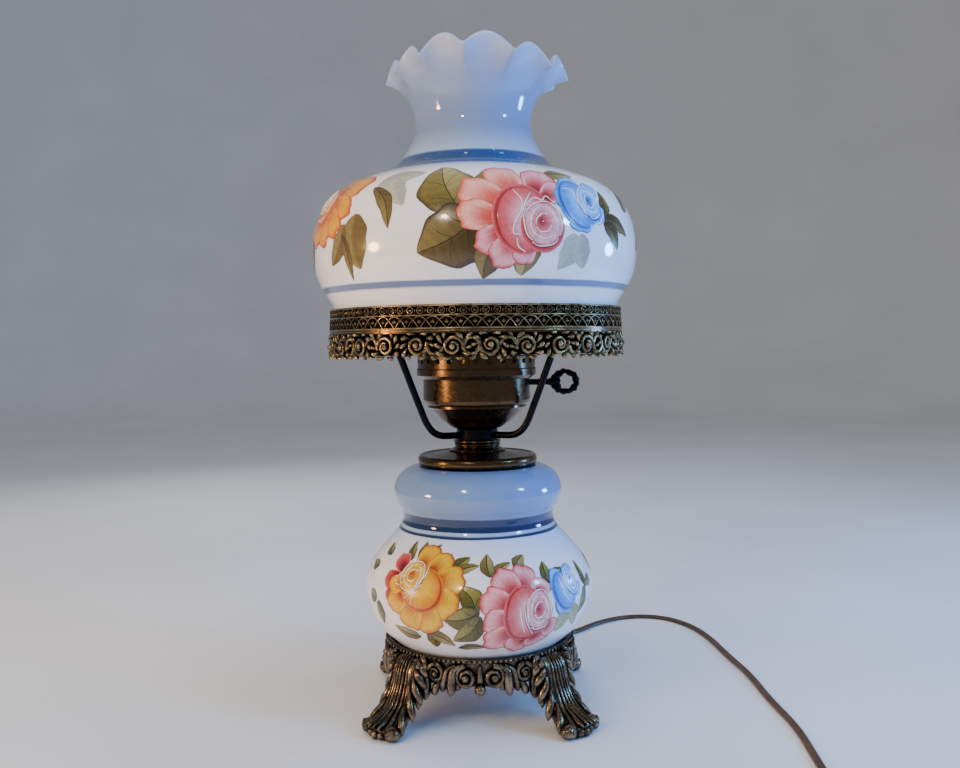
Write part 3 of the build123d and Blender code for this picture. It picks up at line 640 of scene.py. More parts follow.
def petal_outline(base, tip, width, random_source):
    """A rose petal's outline: narrow at its base, broad and softly ruffled at its tip."""
    base, tip = np.asarray(base, float), np.asarray(tip, float)
    axis = tip - base
    side = np.array([-axis[1], axis[0]]) / np.linalg.norm(axis)
    turn = full_turn(OUTLINE_POINTS)
    along = (1 - np.cos(turn)) / 2
    across = np.sin(turn) * (0.62 + 0.55 * along)
    phases = random_source.uniform(0, TAU, 3)
    ripple = sum(np.sin(n * turn + p) / n for n, p in zip((5, 8, 13), phases)) * 2.2
    reach = 1 + 0.06 * ripple * np.clip(along * 1.6 - 0.4, 0, 1)
    return base + np.outer(along * reach, axis) + np.outer(across * reach * width / 2, side)


def ellipse_outline(centre, radii, lean):
    return np.asarray(centre, float) + turned(ellipse(*radii, full_turn(OUTLINE_POINTS)), lean)


class Painting:
    """Petals, leaves and enamel lines in one thin mesh with a colour at every point."""

    def __init__(self, chart, seed):
        self.chart = chart
        self.random = np.random.default_rng(seed)
        self.build = Build()
        self.colours = []
        self.layer = 0
        self.turn = 0.0

    def place(self, middle, points, lift):
        angle, height = middle
        return self.chart.place((angle + self.turn, height), points, lift)

    def record(self, colours):
        self.colours.append(np.clip(np.asarray(colours, float).reshape(-1, 3), 0, 255))

    def lift(self):
        self.layer += 1
        return PAINT_LIFT + LAYER_STEP * self.layer

    def fan(self, middle, base, outline, palette, shades, streak=0.05):
        """Fills an outline in rings that grow from its base, shaded by the palette from base to rim."""
        base = np.asarray(base, float)
        rings = base + RING_SHARES[:, None, None] * (outline - base)[None]
        lift = np.full(RING_SHARES.shape, self.lift())
        lift[-1] = PAINT_EDGE
        points = self.place(middle, rings, lift[:, None])
        self.build.grid(points, wrap_columns=True)
        count = len(outline)
        stops = np.array([share for share, _ in shades])
        values = np.array([palette[key] for _, key in shades], float)
        tint = np.stack(columns_at(RING_SHARES, stops, values), 1)
        turn = full_turn(count)
        phases = self.random.uniform(0, TAU, 5)
        wave = sum(np.sin(n * turn + p) for n, p in zip((3, 7, 12, 19, 28), phases)) / 3
        strength = streak * np.sin(RING_SHARES * math.pi * 0.8)[:, None] * wave[None]
        self.record(tint[:, None, :] * (1 + strength[..., None]))
        first = self.build.count - points.shape[0] * points.shape[1]
        self.build.faces.append(list(range(first, first + count)))

    def petal(self, middle, base, tip, width, palette):
        outline = petal_outline(base, tip, width, self.random)
        self.fan(middle, base, outline, palette, PETAL_SHADES)

    def leaves(self, rows):
        """Leaves given as rows of angle and height on the glass, then what a leaf takes."""
        for angle, height, *leaf in rows:
            self.leaf((angle, height), *leaf)

    def leaf(self, middle, base, tip, width, bend, palette, veins=2, outlined=True):
        """A leaf with a light half, a dark half, a midrib and side veins."""
        self.layer %= LEAF_LAYERS
        base, tip = np.asarray(base, float), np.asarray(tip, float)
        axis = tip - base
        side = np.array([-axis[1], axis[0]]) / np.linalg.norm(axis)
        share = np.linspace(0.0, 1.0, 30)
        spine = base + np.outer(share, axis) + np.outer(np.sin(share * math.pi) * bend, side)
        half = width / 2 * np.sin(math.pi * share**0.82) ** 0.8
        half *= 1 + 0.05 * np.sin(share * 17 + self.random.uniform(0, TAU))
        across = np.linspace(-0.9, 0.9, 8 + 2 * int(width / 4.5))
        across = np.concatenate([[-1, -0.975], across, [0.975, 1]])
        rows = spine[:, None] + across[None, :, None] * half[:, None, None] * side
        top = self.lift()
        lift = np.where(np.abs(across) >= 1, PAINT_EDGE, top)
        self.build.grid(self.place(middle, rows, lift[None, :]))
        light, dark, rim = (np.array(palette[k], float) for k in ("light", "dark", "line"))
        blend = np.clip(0.5 + across * 6, 0, 1)[None, :, None]
        tint = dark * blend + light * (1 - blend)
        toward_base = (1 - share)[:, None, None] ** 2 * (0.7 if outlined else 0.1)
        tint = tint * (1 - toward_base) + rim * toward_base
        wave = np.sin(share[:, None] * 46 - np.abs(across)[None] * 5 + self.random.uniform(0, TAU))
        tint = tint * (1 + (0.05 if outlined else 0.015) * wave[..., None])
        border = np.clip((np.abs(across) - 0.8) * 5, 0, 1)[None, :, None] * (0.75 if outlined else 0.2)
        self.record(tint * (1 - border) + rim * border)
        if outlined:
            self.stroke(middle, spine[1:-1], 0.34, palette["line"], 0.06, smooth=False)
            for step in range(veins):
                start = 6 + step * 8
                for edge in (-1, 1):
                    stop = spine[start + 5] + edge * 0.72 * half[start + 5] * side
                    bow = (spine[start] + stop) / 2 + (spine[start + 5] - spine[start]) * 0.18
                    self.stroke(middle, [spine[start], bow, stop], 0.2, palette["line"], 0.05)

    def stroke(self, middle, points, width, colour, height=0.16, smooth=True, round_ends=False):
        """A line of paint, thick in its middle, or a raised enamel line that ends in a drop."""
        line = smooth_line(points, 5) if smooth else np.asarray(points, float)
        base = ENAMEL_LIFT if round_ends else PAINT_LIFT + LAYER_STEP * (self.layer + 0.5)
        flat = self.place(middle, line, base)
        normal = self.place(middle, line, base + 1.0) - flat
        share = np.linspace(0, 1, len(line))
        radii = width * (0.3 + 0.7 * np.sin(math.pi * np.clip(share, 0.04, 0.96)) ** 0.6)
        before = self.build.count
        self.build.tube(flat, radii, sides=6, flat=height / width, up=normal)
        if round_ends:
            self.build.ball(flat[-1], width * 1.25, rings=5, sides=8)
        self.record(np.tile(colour, (self.build.count - before, 1)))

    def enamel(self, middle, centre, radii, arcs, lean=0.0):
        """White raised arcs about a heart: each goes from one angle and share to another."""
        for start, stop, from_share, to_share in arcs:
            steps = np.linspace(0, 1, 18)
            turn = np.radians(start + (stop - start) * steps)
            share = from_share + (to_share - from_share) * steps + 0.02 * np.sin(steps * 9)
            line = np.asarray(centre) + turned(ellipse(radii[0] * share, radii[1] * share, turn), lean)
            self.stroke(middle, line, 0.38, ENAMEL, 0.34, smooth=False, round_ends=True)

    def rose(self, middle, palette, petals, globe, heart, swooshes, lean=0.0, layer=PETAL_LAYER):
        """A full rose: its ruffled petals, then its cup with a dark hollow round it, then its heart.

        A petal is its base, tip and width, and its palette where that isn't the rose's own. The globe
        and the heart are each a centre and radii, and the swooshes are lines of white enamel.
        """
        self.layer = layer
        for base, tip, width, *other in petals:
            self.petal(middle, base, tip, width, other[0] if other else palette)
        (globe_x, globe_y), (globe_wide, globe_high) = globe
        (heart_x, heart_y), (heart_wide, heart_high) = heart
        toward_heart = np.array([heart_x - globe_x, heart_y - globe_y]) * 0.35
        hollow_middle = np.array(globe[0]) - toward_heart * 0.25
        hollow = ellipse_outline(hollow_middle, (globe_wide * 1.13, globe_high * 1.1), lean)
        self.fan(middle, globe[0], hollow, palette, HOLLOW_SHADES)
        cup = ellipse_outline(globe[0], globe[1], lean)
        self.fan(middle, np.array(globe[0]) + toward_heart, cup, palette, CUP_SHADES)
        under_middle = (heart_x - 0.5, heart_y - heart_high * 0.14)
        under = ellipse_outline(under_middle, (heart_wide * 1.2, heart_high * 1.18), lean)
        self.fan(middle, (heart_x, heart_y), under, palette, UNDER_SHADES)
        bowl = ellipse_outline(heart[0], heart[1], lean)
        bowl_base = (heart_x - heart_wide * 0.12, heart_y + heart_high * 0.1)
        self.fan(middle, bowl_base, bowl, palette, BOWL_SHADES, 0.1)
        self.enamel(middle, heart[0], heart[1], HEART_ARCS, lean)
        for line in swooshes:
            self.stroke(middle, line, 0.38, ENAMEL, 0.32, round_ends=True)

    def finish(self, name, body, slot):
        piece = self.build.piece(name, [paint_material], body, slot)
        layer = piece.data.color_attributes.new("paint", "FLOAT_COLOR", "POINT")
        values = linear(np.vstack(self.colours))
        layer.data.foreach_set("color", np.hstack([values, np.ones((len(values), 1))]).ravel())
        return piece


def paint_finish():
    finish = Finish(
        "fired_paint", (200, 150, 120), 0.2, Specular_IOR_Level=0.5, Coat_Weight=0.5, Coat_Roughness=0.06
    )
    painted = finish.node("ShaderNodeVertexColor", layer_name="paint")
    cloud = finish.ramp(finish.noise(420.0, detail=4.0), [(0.3, (222, 220, 218)), (0.7, (255, 255, 255))])
    finish.colour(finish.tinted(0.6, painted.outputs["Color"], cloud))
    finish.rough(250.0, 0.14, 0.3)
    finish.grain(600.0, 2.0, 0.1, 0.0002)
    return finish.material


paint_material = paint_finish()


def paint_shade(painting):
    """One side of the shade: an orange, a pink and a blue rose among leaves."""
    painting.leaves([
        (-27.0, 355.0, (-16, -1), (16, 12), 17, 3, SHADOW_LEAF, 2, False),
        (-27.0, 355.0, (-3, 6), (8, -16), 15, -2, SHADOW_LEAF, 2, False),
        (-32.0, 345.0, (-9, 12), (9, -19), 11, 5, BROWN, 1),
        (-42.5, 319.0, (2, 20), (6, -16), 27, -3, BROWN, 2, False),
        (-42.5, 319.0, (-8, 14), (-24, -12), 15, 3, BROWN, 2, False),
        (-42.5, 319.0, (-10, 8), (-4, -23), 8, 3, BROWN, 0),
        (-75.0, 326.0, (6, 8), (-6, -20), 13, 2, BROWN, 1),
    ])
    painting.rose(
        (-65.0, 349.0), ORANGE, [
            ((-2, 8), (14, 30), 26), ((2, 6), (44, 16), 24), ((6, 2), (38, -9), 20),
            ((3, -2), (30, -22), 19), ((-2, -4), (14, -29), 18), ((-8, -3), (-3, -29), 20),
            ((-14, -2), (-24, -22), 20), ((-16, 4), (-34, -2), 24), ((-12, 10), (-20, 26), 24),
        ],
        ((0, 0), (15, 14)), ((-5, 4), (9.5, 9.5)),
        [[(8, 10), (11, 3), (7, -5)], [(4, -8), (-1, -11), (-7, -10)]],
    )
    painting.leaves([
        (-9.8, 348.6, (14, -12), (26, 22), 18, -5, GOLDEN, 1),
        (-9.8, 348.6, (13, -15), (-4, 27), 37, 4, GOLDEN),
        (-7.1, 326.0, (18, 8), (-21, -15), 41, 4, OLIVE),
        (8.3, 303.0, (8, 14), (13, -7), 20, 5, GOLDEN, 1),
        (8.3, 303.0, (4, 15), (-11, -9), 20, -5, OLIVE, 1),
        (32.0, 358.5, (-10, 1), (15, 5), 12, 3, GOLDEN, 1),
        (40.3, 342.6, (-14, -20), (-25, -43), 15, 2, SHADOW_LEAF, 2, False),
        (40.3, 342.6, (-9, -20), (-6, -42), 16, -2, SHADOW_LEAF, 2, False),
        (53.6, 334.0, (-14, 0), (-8, 21), 11, -3, OLIVE, 1),
        (53.6, 334.0, (-13, 0), (15, -9), 11, 3, OLIVE, 1),
        (53.6, 334.0, (-14, -2), (1, -19), 12, 3, OLIVE, 1),
        (70.0, 350.0, (-12, -8), (14, 10), 14, 3, GOLDEN, 1),
        (80.0, 330.0, (10, 12), (-12, -12), 16, 3, OLIVE),
        (80.0, 330.0, (12, 10), (18, -14), 13, 3, OLIVE, 1),
    ])
    painting.rose(
        (21.5, 328.0), PINK, [
            ((-16, 12), (-25, 46), 27, PEACH), ((-4, 16), (8, 42), 27), ((0, 14), (19, 28), 18),
            ((-20, 8), (-50, 27), 27, PEACH), ((-24, 2), (-53, 8), 22, PEACH),
            ((-22, -2), (-41, -16), 19), ((-16, -6), (-30, -26), 21), ((-8, -8), (-15, -25), 17),
        ],
        ((-11.5, 3.5), (17.5, 21)), ((0.8, 0.2), (12.6, 13.6)),
        [
            [(-17, 22), (-12.5, 15), (-13.5, 8), (-18, 0), (-19, -6), (-15, -7)],
            [(-6, 20), (-11, 12), (-13.5, 4)],
            [(-17, -9), (-16, -14), (-12, -17)],
            [(-11, 11), (-4, 16.5), (1, 15), (4, 18), (9, 14)],
        ],
    )
    painting.rose(
        (40.3, 342.6), BLUE, [
            ((-6, 6), (-12, 21), 18), ((-10, 2), (-24, 8), 22), ((-8, -6), (-10, -19), 19),
            ((2, 4), (10, 16), 14), ((4, -4), (13, -9), 14),
        ],
        ((-8, 0), (13, 16.5)), ((1.5, 1.5), (8.4, 11)),
        [[(-18, 10), (-12, 9), (-8, 0), (-4, -9)], [(3, -13), (8, -12), (12, -6)]],
        lean=18,
        layer=UPPER_PETAL_LAYER,
    )


def paint_font(painting):
    """One side of the font: a yellow, a pink and a blue rose, a red blossom and leaves."""
    leaves = [
        (-40.5, 112, (0, 0), (-4, 15), 7, GREEN), (-32.5, 111, (0, 0), (-3, 17), 8, GREEN),
        (-31.0, 111, (0, 0), (8, 16), 7, GREEN), (-13.0, 108, (0, 0), (10, 11), 9, GREEN),
        (-13.0, 107, (0, 0), (17, 6), 7, GOLDEN), (6.0, 105, (0, 0), (-1, 17), 10, GOLDEN),
        (6.5, 105, (0, 0), (14, 10), 7, GOLDEN), (20.0, 108, (0, 0), (8, 11), 9, GOLDEN),
        (37.0, 98, (0, 0), (0, 16), 9, GREEN), (38.0, 98, (0, 0), (13, 9), 8, GREEN),
        (64.0, 92, (2, -4), (-3, 17), 7, GREEN), (63.0, 90, (0, 0), (-8, -17), 9, GREEN),
        (66.0, 92, (0, 0), (11, -3), 9, GREEN), (-36.0, 62, (8, 4), (-13, 9), 9, GOLDEN),
        (-26.0, 66, (2, 4), (4, -9), 10, BROWN), (-22.0, 66, (-4, 4), (13, -6), 9, GOLDEN),
        (-4.0, 60, (-9, -1), (10, 0), 6, GREEN), (46.0, 76, (0, 6), (-7, -12), 12, PALE_LEAF),
        (49.0, 76, (0, 6), (9, -11), 12, PALE_LEAF), (-60.0, 112, (0, 0), (-9, 9), 8, GREEN),
        (-66.0, 104, (0, 0), (-13, 2), 8, GREEN), (-59.0, 84, (0, 0), (-10, 5), 10, GREEN),
        (-57.0, 84, (0, 0), (1, -17), 10, GREEN), (82.0, 96, (0, 0), (12, 10), 9, GREEN),
        (82.0, 96, (0, 0), (13, -5), 9, GREEN), (-86.0, 78, (0, 0), (-12, 5), 10, GREEN),
        (-86.0, 78, (0, 0), (-8, -12), 10, GREEN),
    ]
    painting.leaves([(*leaf[:5], 1.4, leaf[5], 0) for leaf in leaves])
    red_petals = [((-9, 2), (-18, 14), 15), ((-11, 0), (-24, -9), 16), ((-12, -5), (-20, -19), 9)]
    painting.layer = PETAL_LAYER
    for base, tip, width in red_petals:
        painting.petal((-34.8, 103.5), base, tip, width, RED)
    painting.rose(
        (-34.8, 103.5), YELLOW, [
            ((2, 4), (9, 24), 19), ((10, 2), (24, 17), 19), ((14, -2), (37, 0), 23),
            ((14, -8), (33, -20), 22), ((10, -12), (16, -36), 22), ((4, -12), (0, -35), 20),
            ((-2, -9), (-16, -23), 18), ((-4, -4), (-19, -9), 14),
        ],
        ((8, -7), (14.5, 13.5)), ((-0.5, 0.5), (8.6, 10.2)),
        [
            [(10, 8), (9, 1), (2, -8), (-3, -11)],
            [(9, -4), (3, -9), (-3, -14)],
            [(7, -8), (3, -12), (2, -17)],
        ],
        lean=-18,
    )
    for dot in ellipse(2.8, 3.4, np.radians(60 + 45 * np.arange(7))) + (-11, -4):
        painting.stroke((-34.8, 103.5), [dot, dot + 0.5], 0.5, ENAMEL, 0.4, False, True)
    painting.leaves([
        (-5.0, 88.0, (5, -6), (-8, 13), 15, -4, GREEN, 1),
        (-6.0, 83.0, (9, 2), (-16, -3), 16, 3, GREEN, 1),
        (-4.0, 78.0, (7, 4), (-12, -14), 15, 3, GREEN, 1),
    ])
    painting.rose(
        (28.7, 81.0), PINK, [
            ((-10, 12), (-6, 33), 19), ((-14, 10), (-26, 30), 22), ((-16, 4), (-39, 13), 22),
            ((-16, -2), (-38, -4), 20), ((-14, -8), (-36, -21), 20), ((-8, -12), (-17, -28), 20),
            ((-2, -12), (3, -24), 22), ((4, -8), (15, -14), 16), ((0, 12), (7, 21), 16),
        ],
        ((-9.5, 0.5), (13, 17.5)), ((0.5, 2), (9, 12.5)),
        [
            [(-14, 6), (-13, -2), (-10, -11)],
            [(-11, 6), (-9, -4), (-4, -13)],
            [(-7, 10), (-8, 0), (-3, -10)],
        ],
    )
    painting.rose(
        (50.6, 95.0), BLUE, [
            ((-4, 2), (-19, 6), 18), ((-5, -3), (-12, -18), 18), ((2, 4), (-1, 13), 12),
            ((2, -2), (9, -6), 11),
        ],
        ((-7, -3), (9.5, 12.5)), ((0.5, 2), (5.6, 8.4)),
        [[(-8, 8), (-6, 0), (-1, -6)], [(-11, 6), (-9, -4), (-4, -11)]],
        lean=22,
        layer=UPPER_PETAL_LAYER,
    )


shade_painting = Painting(Chart(SHADE_OUTLINE), 5)
font_painting = Painting(Chart(FONT_OUTLINE), 9)
for turn in (0.0, 180.0):
    shade_painting.turn = font_painting.turn = turn
    paint_shade(shade_painting)
    paint_font(font_painting)
shade_painting.finish("shade_painting", "shade", "shade_milk_glass")
font_painting.finish("font_painting", "lamp", "font_milk_glass")


# ---- Shade ring: pressed band and cast scroll skirt ---------------------------------------

RING_FACE = 103.1


def on_ring(middle, points, lift=0.0):
    """Points drawn flat (right, height) laid round the shade ring from a middle angle."""
    points = np.asarray(points, float)
    turn = middle + np.degrees(points[..., 0] / RING_FACE)
    return around(turn, RING_FACE + lift, points[..., 1])


def spiral(centre, start_radius, end_radius, start, sweep, count):
    """A flat spiral that winds in from its start angle."""
    share = np.linspace(0, 1, count)
    radius = start_radius + (end_radius - start_radius) * share**0.8
    turn = np.radians(start + sweep * share)
    return np.asarray(centre, float) + ellipse(radius, radius, turn)


def drop_radii(count, thick, tip=0.25, swell=0.72):
    """Radii of a frond that starts thin and swells to a rounded end."""
    share = np.linspace(0, 1, count)
    body = tip + (1 - tip) * np.sin(np.clip(share / swell, 0, 1) * math.pi / 2) ** 1.3
    close = np.sqrt(np.clip(1 - np.clip((share - swell) / (1 - swell), 0, 1) ** 2, 0.03, 1))
    return thick * body * close


def make_band():
    """The rolled band: a row of rounds over a row of arches that cross, on a near-black ground of painted
    shade.
    """
    build = Build()
    for height, thick in ((265.6, 0.8), (273.7, 0.62), (279.7, 0.7)):
        build.revolve(ellipse(thick, thick, full_turn(8)) + (103.3, height))
    rounds, round_radius, round_height = 94, 2.1, 276.7
    for index in range(rounds):
        middle = index * 360.0 / rounds
        circle = ellipse(round_radius, round_radius, np.linspace(0, TAU, 13)) + (0, round_height)
        ring = on_ring(middle, circle, 0.25)
        build.rib(ring, 0.36, 6)
        for lean in (-0.75, 0.0, 0.75):
            bud = [(0.15 * lean, 275.4), (lean * 0.9, round_height), (lean * 1.6, 277.7)]
            build.rib(on_ring(middle, bud, 0.2), [0.2, 0.36, 0.2], 5)
        side = on_ring(middle + 180.0 / rounds, [(0, 275.0), (0, round_height), (0, 278.4)], 0.2)
        build.rib(side, [0.22, 0.4, 0.22], 5)
    arches, arch_foot, arch_rise = 74, 266.0, 7.0
    pitch = TAU * RING_FACE / arches
    for index in range(arches):
        middle = index * 360.0 / arches
        rise = np.linspace(0, math.pi, 19)
        wide = np.cos(rise) * pitch * 0.94
        over = 0.28 + 0.3 * np.cos(rise)
        high = arch_foot + arch_rise * (1 - np.abs(np.cos(rise)) ** 1.9)
        line = on_ring(middle, np.stack([wide, high], 1), over)
        build.rib(line, 0.44, 6)
        for lean, reach in ((-1, 1.7), (0, 2.8), (1, 1.7)):
            leaf = [(0, 268.4), (lean * 0.9, 269.0 + reach * 0.4), (lean * 1.2, 268.6 + reach)]
            build.rib(on_ring(middle, leaf, 0.4), [0.25, 0.45, 0.2], 6)
    # From here on the near-black ground behind the tracery: painted shade in its gaps
    build.next_material()
    build.revolve([(102.4, 265.0), (102.4, 280.2), (103.05, 280.2), (103.05, 265.0)])
    band = build.piece("ring_band", [ring_material, recess_shadow_material], "lamp", "antique_brass")
    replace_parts(band, "gallery_band")


def skirt_motif(build, middle, flip, mirror):
    """One scroll of the skirt with its boss and fronds. flip turns it over, mirror turns it round."""
    centre_height = 254.6

    def lay(points, lift):
        points = np.array(points, float)
        points = np.stack([mirror * points[:, 0], centre_height + flip * points[:, 1]], 1)
        return on_ring(middle, points, lift - 0.7)

    curl = spiral((0, -0.4), 7.0, 2.1, 200, -500, 44)
    line = lay(curl, np.linspace(0.0, 1.3, len(curl)))
    build.rib(line, np.linspace(1.75, 1.05, len(curl)))
    build.ball(lay([(0.3, -0.5)], 1.3)[0], 2.3, rings=7, sides=10)
    stem = smooth_line([(-6.6, 0.4), (-8.6, 4.0), (-11.4, 5.2), (-15.0, 3.4), (-17.6, 0.2)], 6)
    line = lay(stem, 0.3)
    build.rib(line, np.linspace(1.7, 1.2, len(stem)))
    # Start, bend and end of each frond, then its thickness
    fronds = [
        ((-6.8, 2.8), (-5.8, 6.2), (-1.6, 8.0), 1.8), ((-8.6, 4.2), (-9.2, 6.8), (-12.6, 8.2), 1.5),
        ((4.8, 3.6), (6.6, 6.4), (4.6, 8.4), 1.5), ((6.2, 1.0), (8.6, 3.4), (9.2, 7.2), 1.8),
        ((6.2, -1.8), (9.2, -1.4), (11.4, 2.0), 1.6), ((5.0, -4.6), (7.6, -6.2), (11.0, -3.6), 1.8),
        ((-5.6, -3.6), (-8.2, -6.0), (-11.2, -4.2), 1.8),
        ((-6.6, -1.0), (-9.2, -1.8), (-11.8, 0.2), 1.4), ((1.2, -6.8), (3.4, -8.4), (6.6, -7.4), 1.5),
        ((-1.4, -6.8), (-3.8, -8.4), (-7.2, -7.2), 1.5),
        ((-9.4, -6.8), (-11.4, -7.8), (-13.4, -6.6), 1.4),
    ]
    for start, bend, stop, thick in fronds:
        share = np.linspace(0, 1, 10)[:, None]
        start, bend, stop = (np.array(p) for p in (start, bend, stop))
        curve = (1 - share) ** 2 * start + 2 * share * (1 - share) * bend + share**2 * stop
        line = lay(curve, 0.2 + 1.1 * share[:, 0])
        build.rib(line, drop_radii(10, thick), 7)


def make_skirt():
    """The cast skirt that hangs from the ring: scrolls, each turned against the next, on a strip of
    painted shade.
    """
    build = Build()
    build.revolve(ellipse(0.8, 0.75, full_turn(10)) + (103.2, 264.0))
    motifs = 28
    for index in range(motifs):
        flip, mirror = (1 if index % 2 else -1), (1 if index % 4 < 2 else -1)
        skirt_motif(build, (index + 0.4) * 360.0 / motifs, flip, mirror)
    # From here on the near-black strip behind the scrolls: painted shade in their gaps
    build.next_material()
    upper, lower = [(101.6, 264.9), (103.4, 264.9), (103.4, 263.4)], [(102.3, 263.0), (102.3, 248.6)]
    build.revolve([(101.6, 248.6), *upper, *lower])
    skirt = build.piece("scroll_skirt_casting", [ring_material, recess_shadow_material], "lamp", "antique_brass")
    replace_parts(skirt, "scroll_skirt")


# ---- Cast foot ----------------------------------------------------------------------------


def leg_point(angle, points):
    """Points given as (across, out, height) on a leg that stands at an angle."""
    points = np.asarray(points, float)
    turn = math.radians(angle)
    across, out, height = points[..., 0], points[..., 1], points[..., 2]
    right = out * math.sin(turn) + across * math.cos(turn)
    back = -out * math.cos(turn) + across * math.sin(turn)
    return np.stack([right, back, np.maximum(height, 0.02)], -1)


LEG_ROUTE = [
    (61.0, 48.5), (68.5, 46.5), (73.0, 40.0), (75.0, 32.0), (78.0, 23.5), (83.5, 15.5), (91.0, 10.0),
    (98.0, 6.5),
]
LEG_LINE = smooth_line(LEG_ROUTE, 6)
LEG_OUT = square_to(LEG_LINE)


def on_leg(angle, share, across, lift):
    """Points on the front of a leg: a share of the way down it, across it and proud of it."""
    steps = np.linspace(0, 1, len(LEG_LINE))
    out, height = columns_at(share, steps, LEG_LINE)
    out_lift, height_lift = columns_at(share, steps, LEG_OUT)
    depth = np.asarray(lift) - np.asarray(across) ** 2 / 34.0
    places = np.broadcast_arrays(across, out + out_lift * depth, height + height_lift * depth)
    return leg_point(angle, np.stack(places, -1))


def make_leg(build, angle):
    """A leg: its body, ridges down its front, leaf lobes at its sides, scrolls and a clawed foot."""
    back_route = [(60.5, 44.0), (61.5, 36.0), (65.0, 26.0), (70.0, 16.0), (75.0, 7.0), (79.0, 0.0)]
    back = smooth_line(back_route, 8)
    down = np.linspace(0, 1, 26)
    front, rear = (
        np.stack(columns_at(down, np.linspace(0, 1, len(line)), line), 1) for line in (LEG_LINE, back)
    )
    half = np.interp(down, [0, 0.25, 0.5, 0.75, 1.0], [15.0, 14.0, 12.4, 11.8, 13.0])
    turn = full_turn(16)
    depth = (1 - np.cos(turn)) / 2
    section = front[:, None] * (1 - depth)[None, :, None] + rear[:, None] * depth[None, :, None]
    across = half[:, None] * swollen(np.sin(turn), 0.6)
    body = leg_point(angle, np.dstack([across, section[..., 0], section[..., 1]]))
    build.closed_grid(body)
    # Each ridge's distance from the middle, how far down it runs, its flare and its thickness
    ridges = [
        (0.0, 1.0, 0.0, 1.6), (2.6, 1.0, 1.0, 1.6), (5.2, 0.96, 2.8, 1.7), (7.9, 0.84, 5.4, 1.8),
        (10.6, 0.62, 6.4, 1.9),
    ]
    for offset, stop, flare, thick in ridges:
        for edge in (-1, 1) if offset else (1,):
            share = np.linspace(0.02, stop, 26)
            waist = np.interp(share, [0, 0.3, 0.55, 0.8, 1.0], [0.7, 0.98, 0.98, 1.05, 1.35])
            across = edge * (offset * waist + flare * (share / stop) ** 3.4)
            line = on_leg(angle, share, across, 0.3 + 1.8 * (share / stop) ** 8)
            build.rib(line, drop_radii(26, thick, 0.4, 0.93), 7)
    # Where each lobe starts, as a share down the leg and a distance out, where it ends, its thickness
    lobes = [
        (0.06, 11.5, 0.3, 17.8, 3.1), (0.2, 11.4, 0.44, 17.6, 3.0), (0.34, 10.8, 0.58, 17.2, 2.9),
        (0.48, 10.0, 0.72, 16.8, 2.8), (0.62, 9.4, 0.87, 16.4, 2.8),
    ]
    for start, inner, stop, outer, thick in lobes:
        for edge in (-1, 1):
            share = np.linspace(0, 1, 12)
            across = edge * (inner + (outer - inner) * share**1.6)
            proud = 1.2 + 1.2 * np.sin(share * math.pi)
            line = on_leg(angle, start + (stop - start) * share, across, proud)
            build.rib(line, drop_radii(12, thick, 0.35, 0.7))
    for edge in (-1, 1):
        curl = spiral((0, 0), 4.6, 1.3, 100 if edge > 0 else 80, -430 * edge, 26)
        across = edge * 13.0 + curl[:, 0] * 0.9
        line = leg_point(angle, np.stack([across, 66.5 + np.linspace(0, 3.5, 26), 43.5 + curl[:, 1]], 1))
        build.rib(line, np.linspace(1.9, 1.2, 26), 7)
        build.ball(leg_point(angle, (edge * 13.0, 70.0, 43.5)), 2.2, rings=6, sides=9)
        build.ball(leg_point(angle, (edge * 11.6, 91.5, 5.0)), 5.0, (1.15, 1.15, 1.0), rings=9, sides=14)
        toe_curl = spiral((0, 0), 4.3, 1.0, 60, -400, 22)
        curl_out = 95.4 + np.linspace(-1, 1.6, 22)
        toe_line = np.stack([edge * (11.6 + toe_curl[:, 0] * 0.9), curl_out, 5.2 + toe_curl[:, 1]], 1)
        toe_line = leg_point(angle, toe_line)
        build.rib(toe_line, np.linspace(1.1, 0.9, 22), 6)
        build.ball(leg_point(angle, (edge * 4.6, 95.0, 3.6)), 3.0, (1.1, 1.2, 1.1), rings=7, sides=12)
    build.ball(leg_point(angle, (0, 96.5, 3.4)), 3.0, (1.0, 1.1, 1.1), rings=7, sides=12)


# Half a quarter of the apron: each scroll's middle, radii, sweep, points, thickness and boss, then the
# leaves that hang beside it, as points (across, height), thickness and how proud they stand
APRON_SCROLLS = [
    ((9.2, 38.2), (7.6, 3.0), -460, 46, (2.3, 1.4), (9.6, 37.8), 2.8, [
        ([(12.8, 46.0), (17.6, 42.0), (18.6, 34.0), (19.6, 25.6)], 3.5, 2.0),
        ([(16.0, 46.0), (21.6, 42.0), (23.6, 35.0), (25.8, 27.6)], 2.8, 1.3),
        ([(13.8, 40.0), (14.6, 34.0), (15.2, 29.0)], 2.2, 0.9),
    ]),
    ((30.5, 39.4), (6.4, 2.4), 430, 36, (2.1, 1.3), (30.2, 39.1), 2.4, [
        ([(30.0, 46.5), (36.8, 41.0), (37.0, 31.0), (38.4, 20.6)], 3.8, 2.4),
        ([(25.4, 35.0), (29.4, 31.0), (32.2, 24.6)], 2.8, 1.2),
    ]),
]


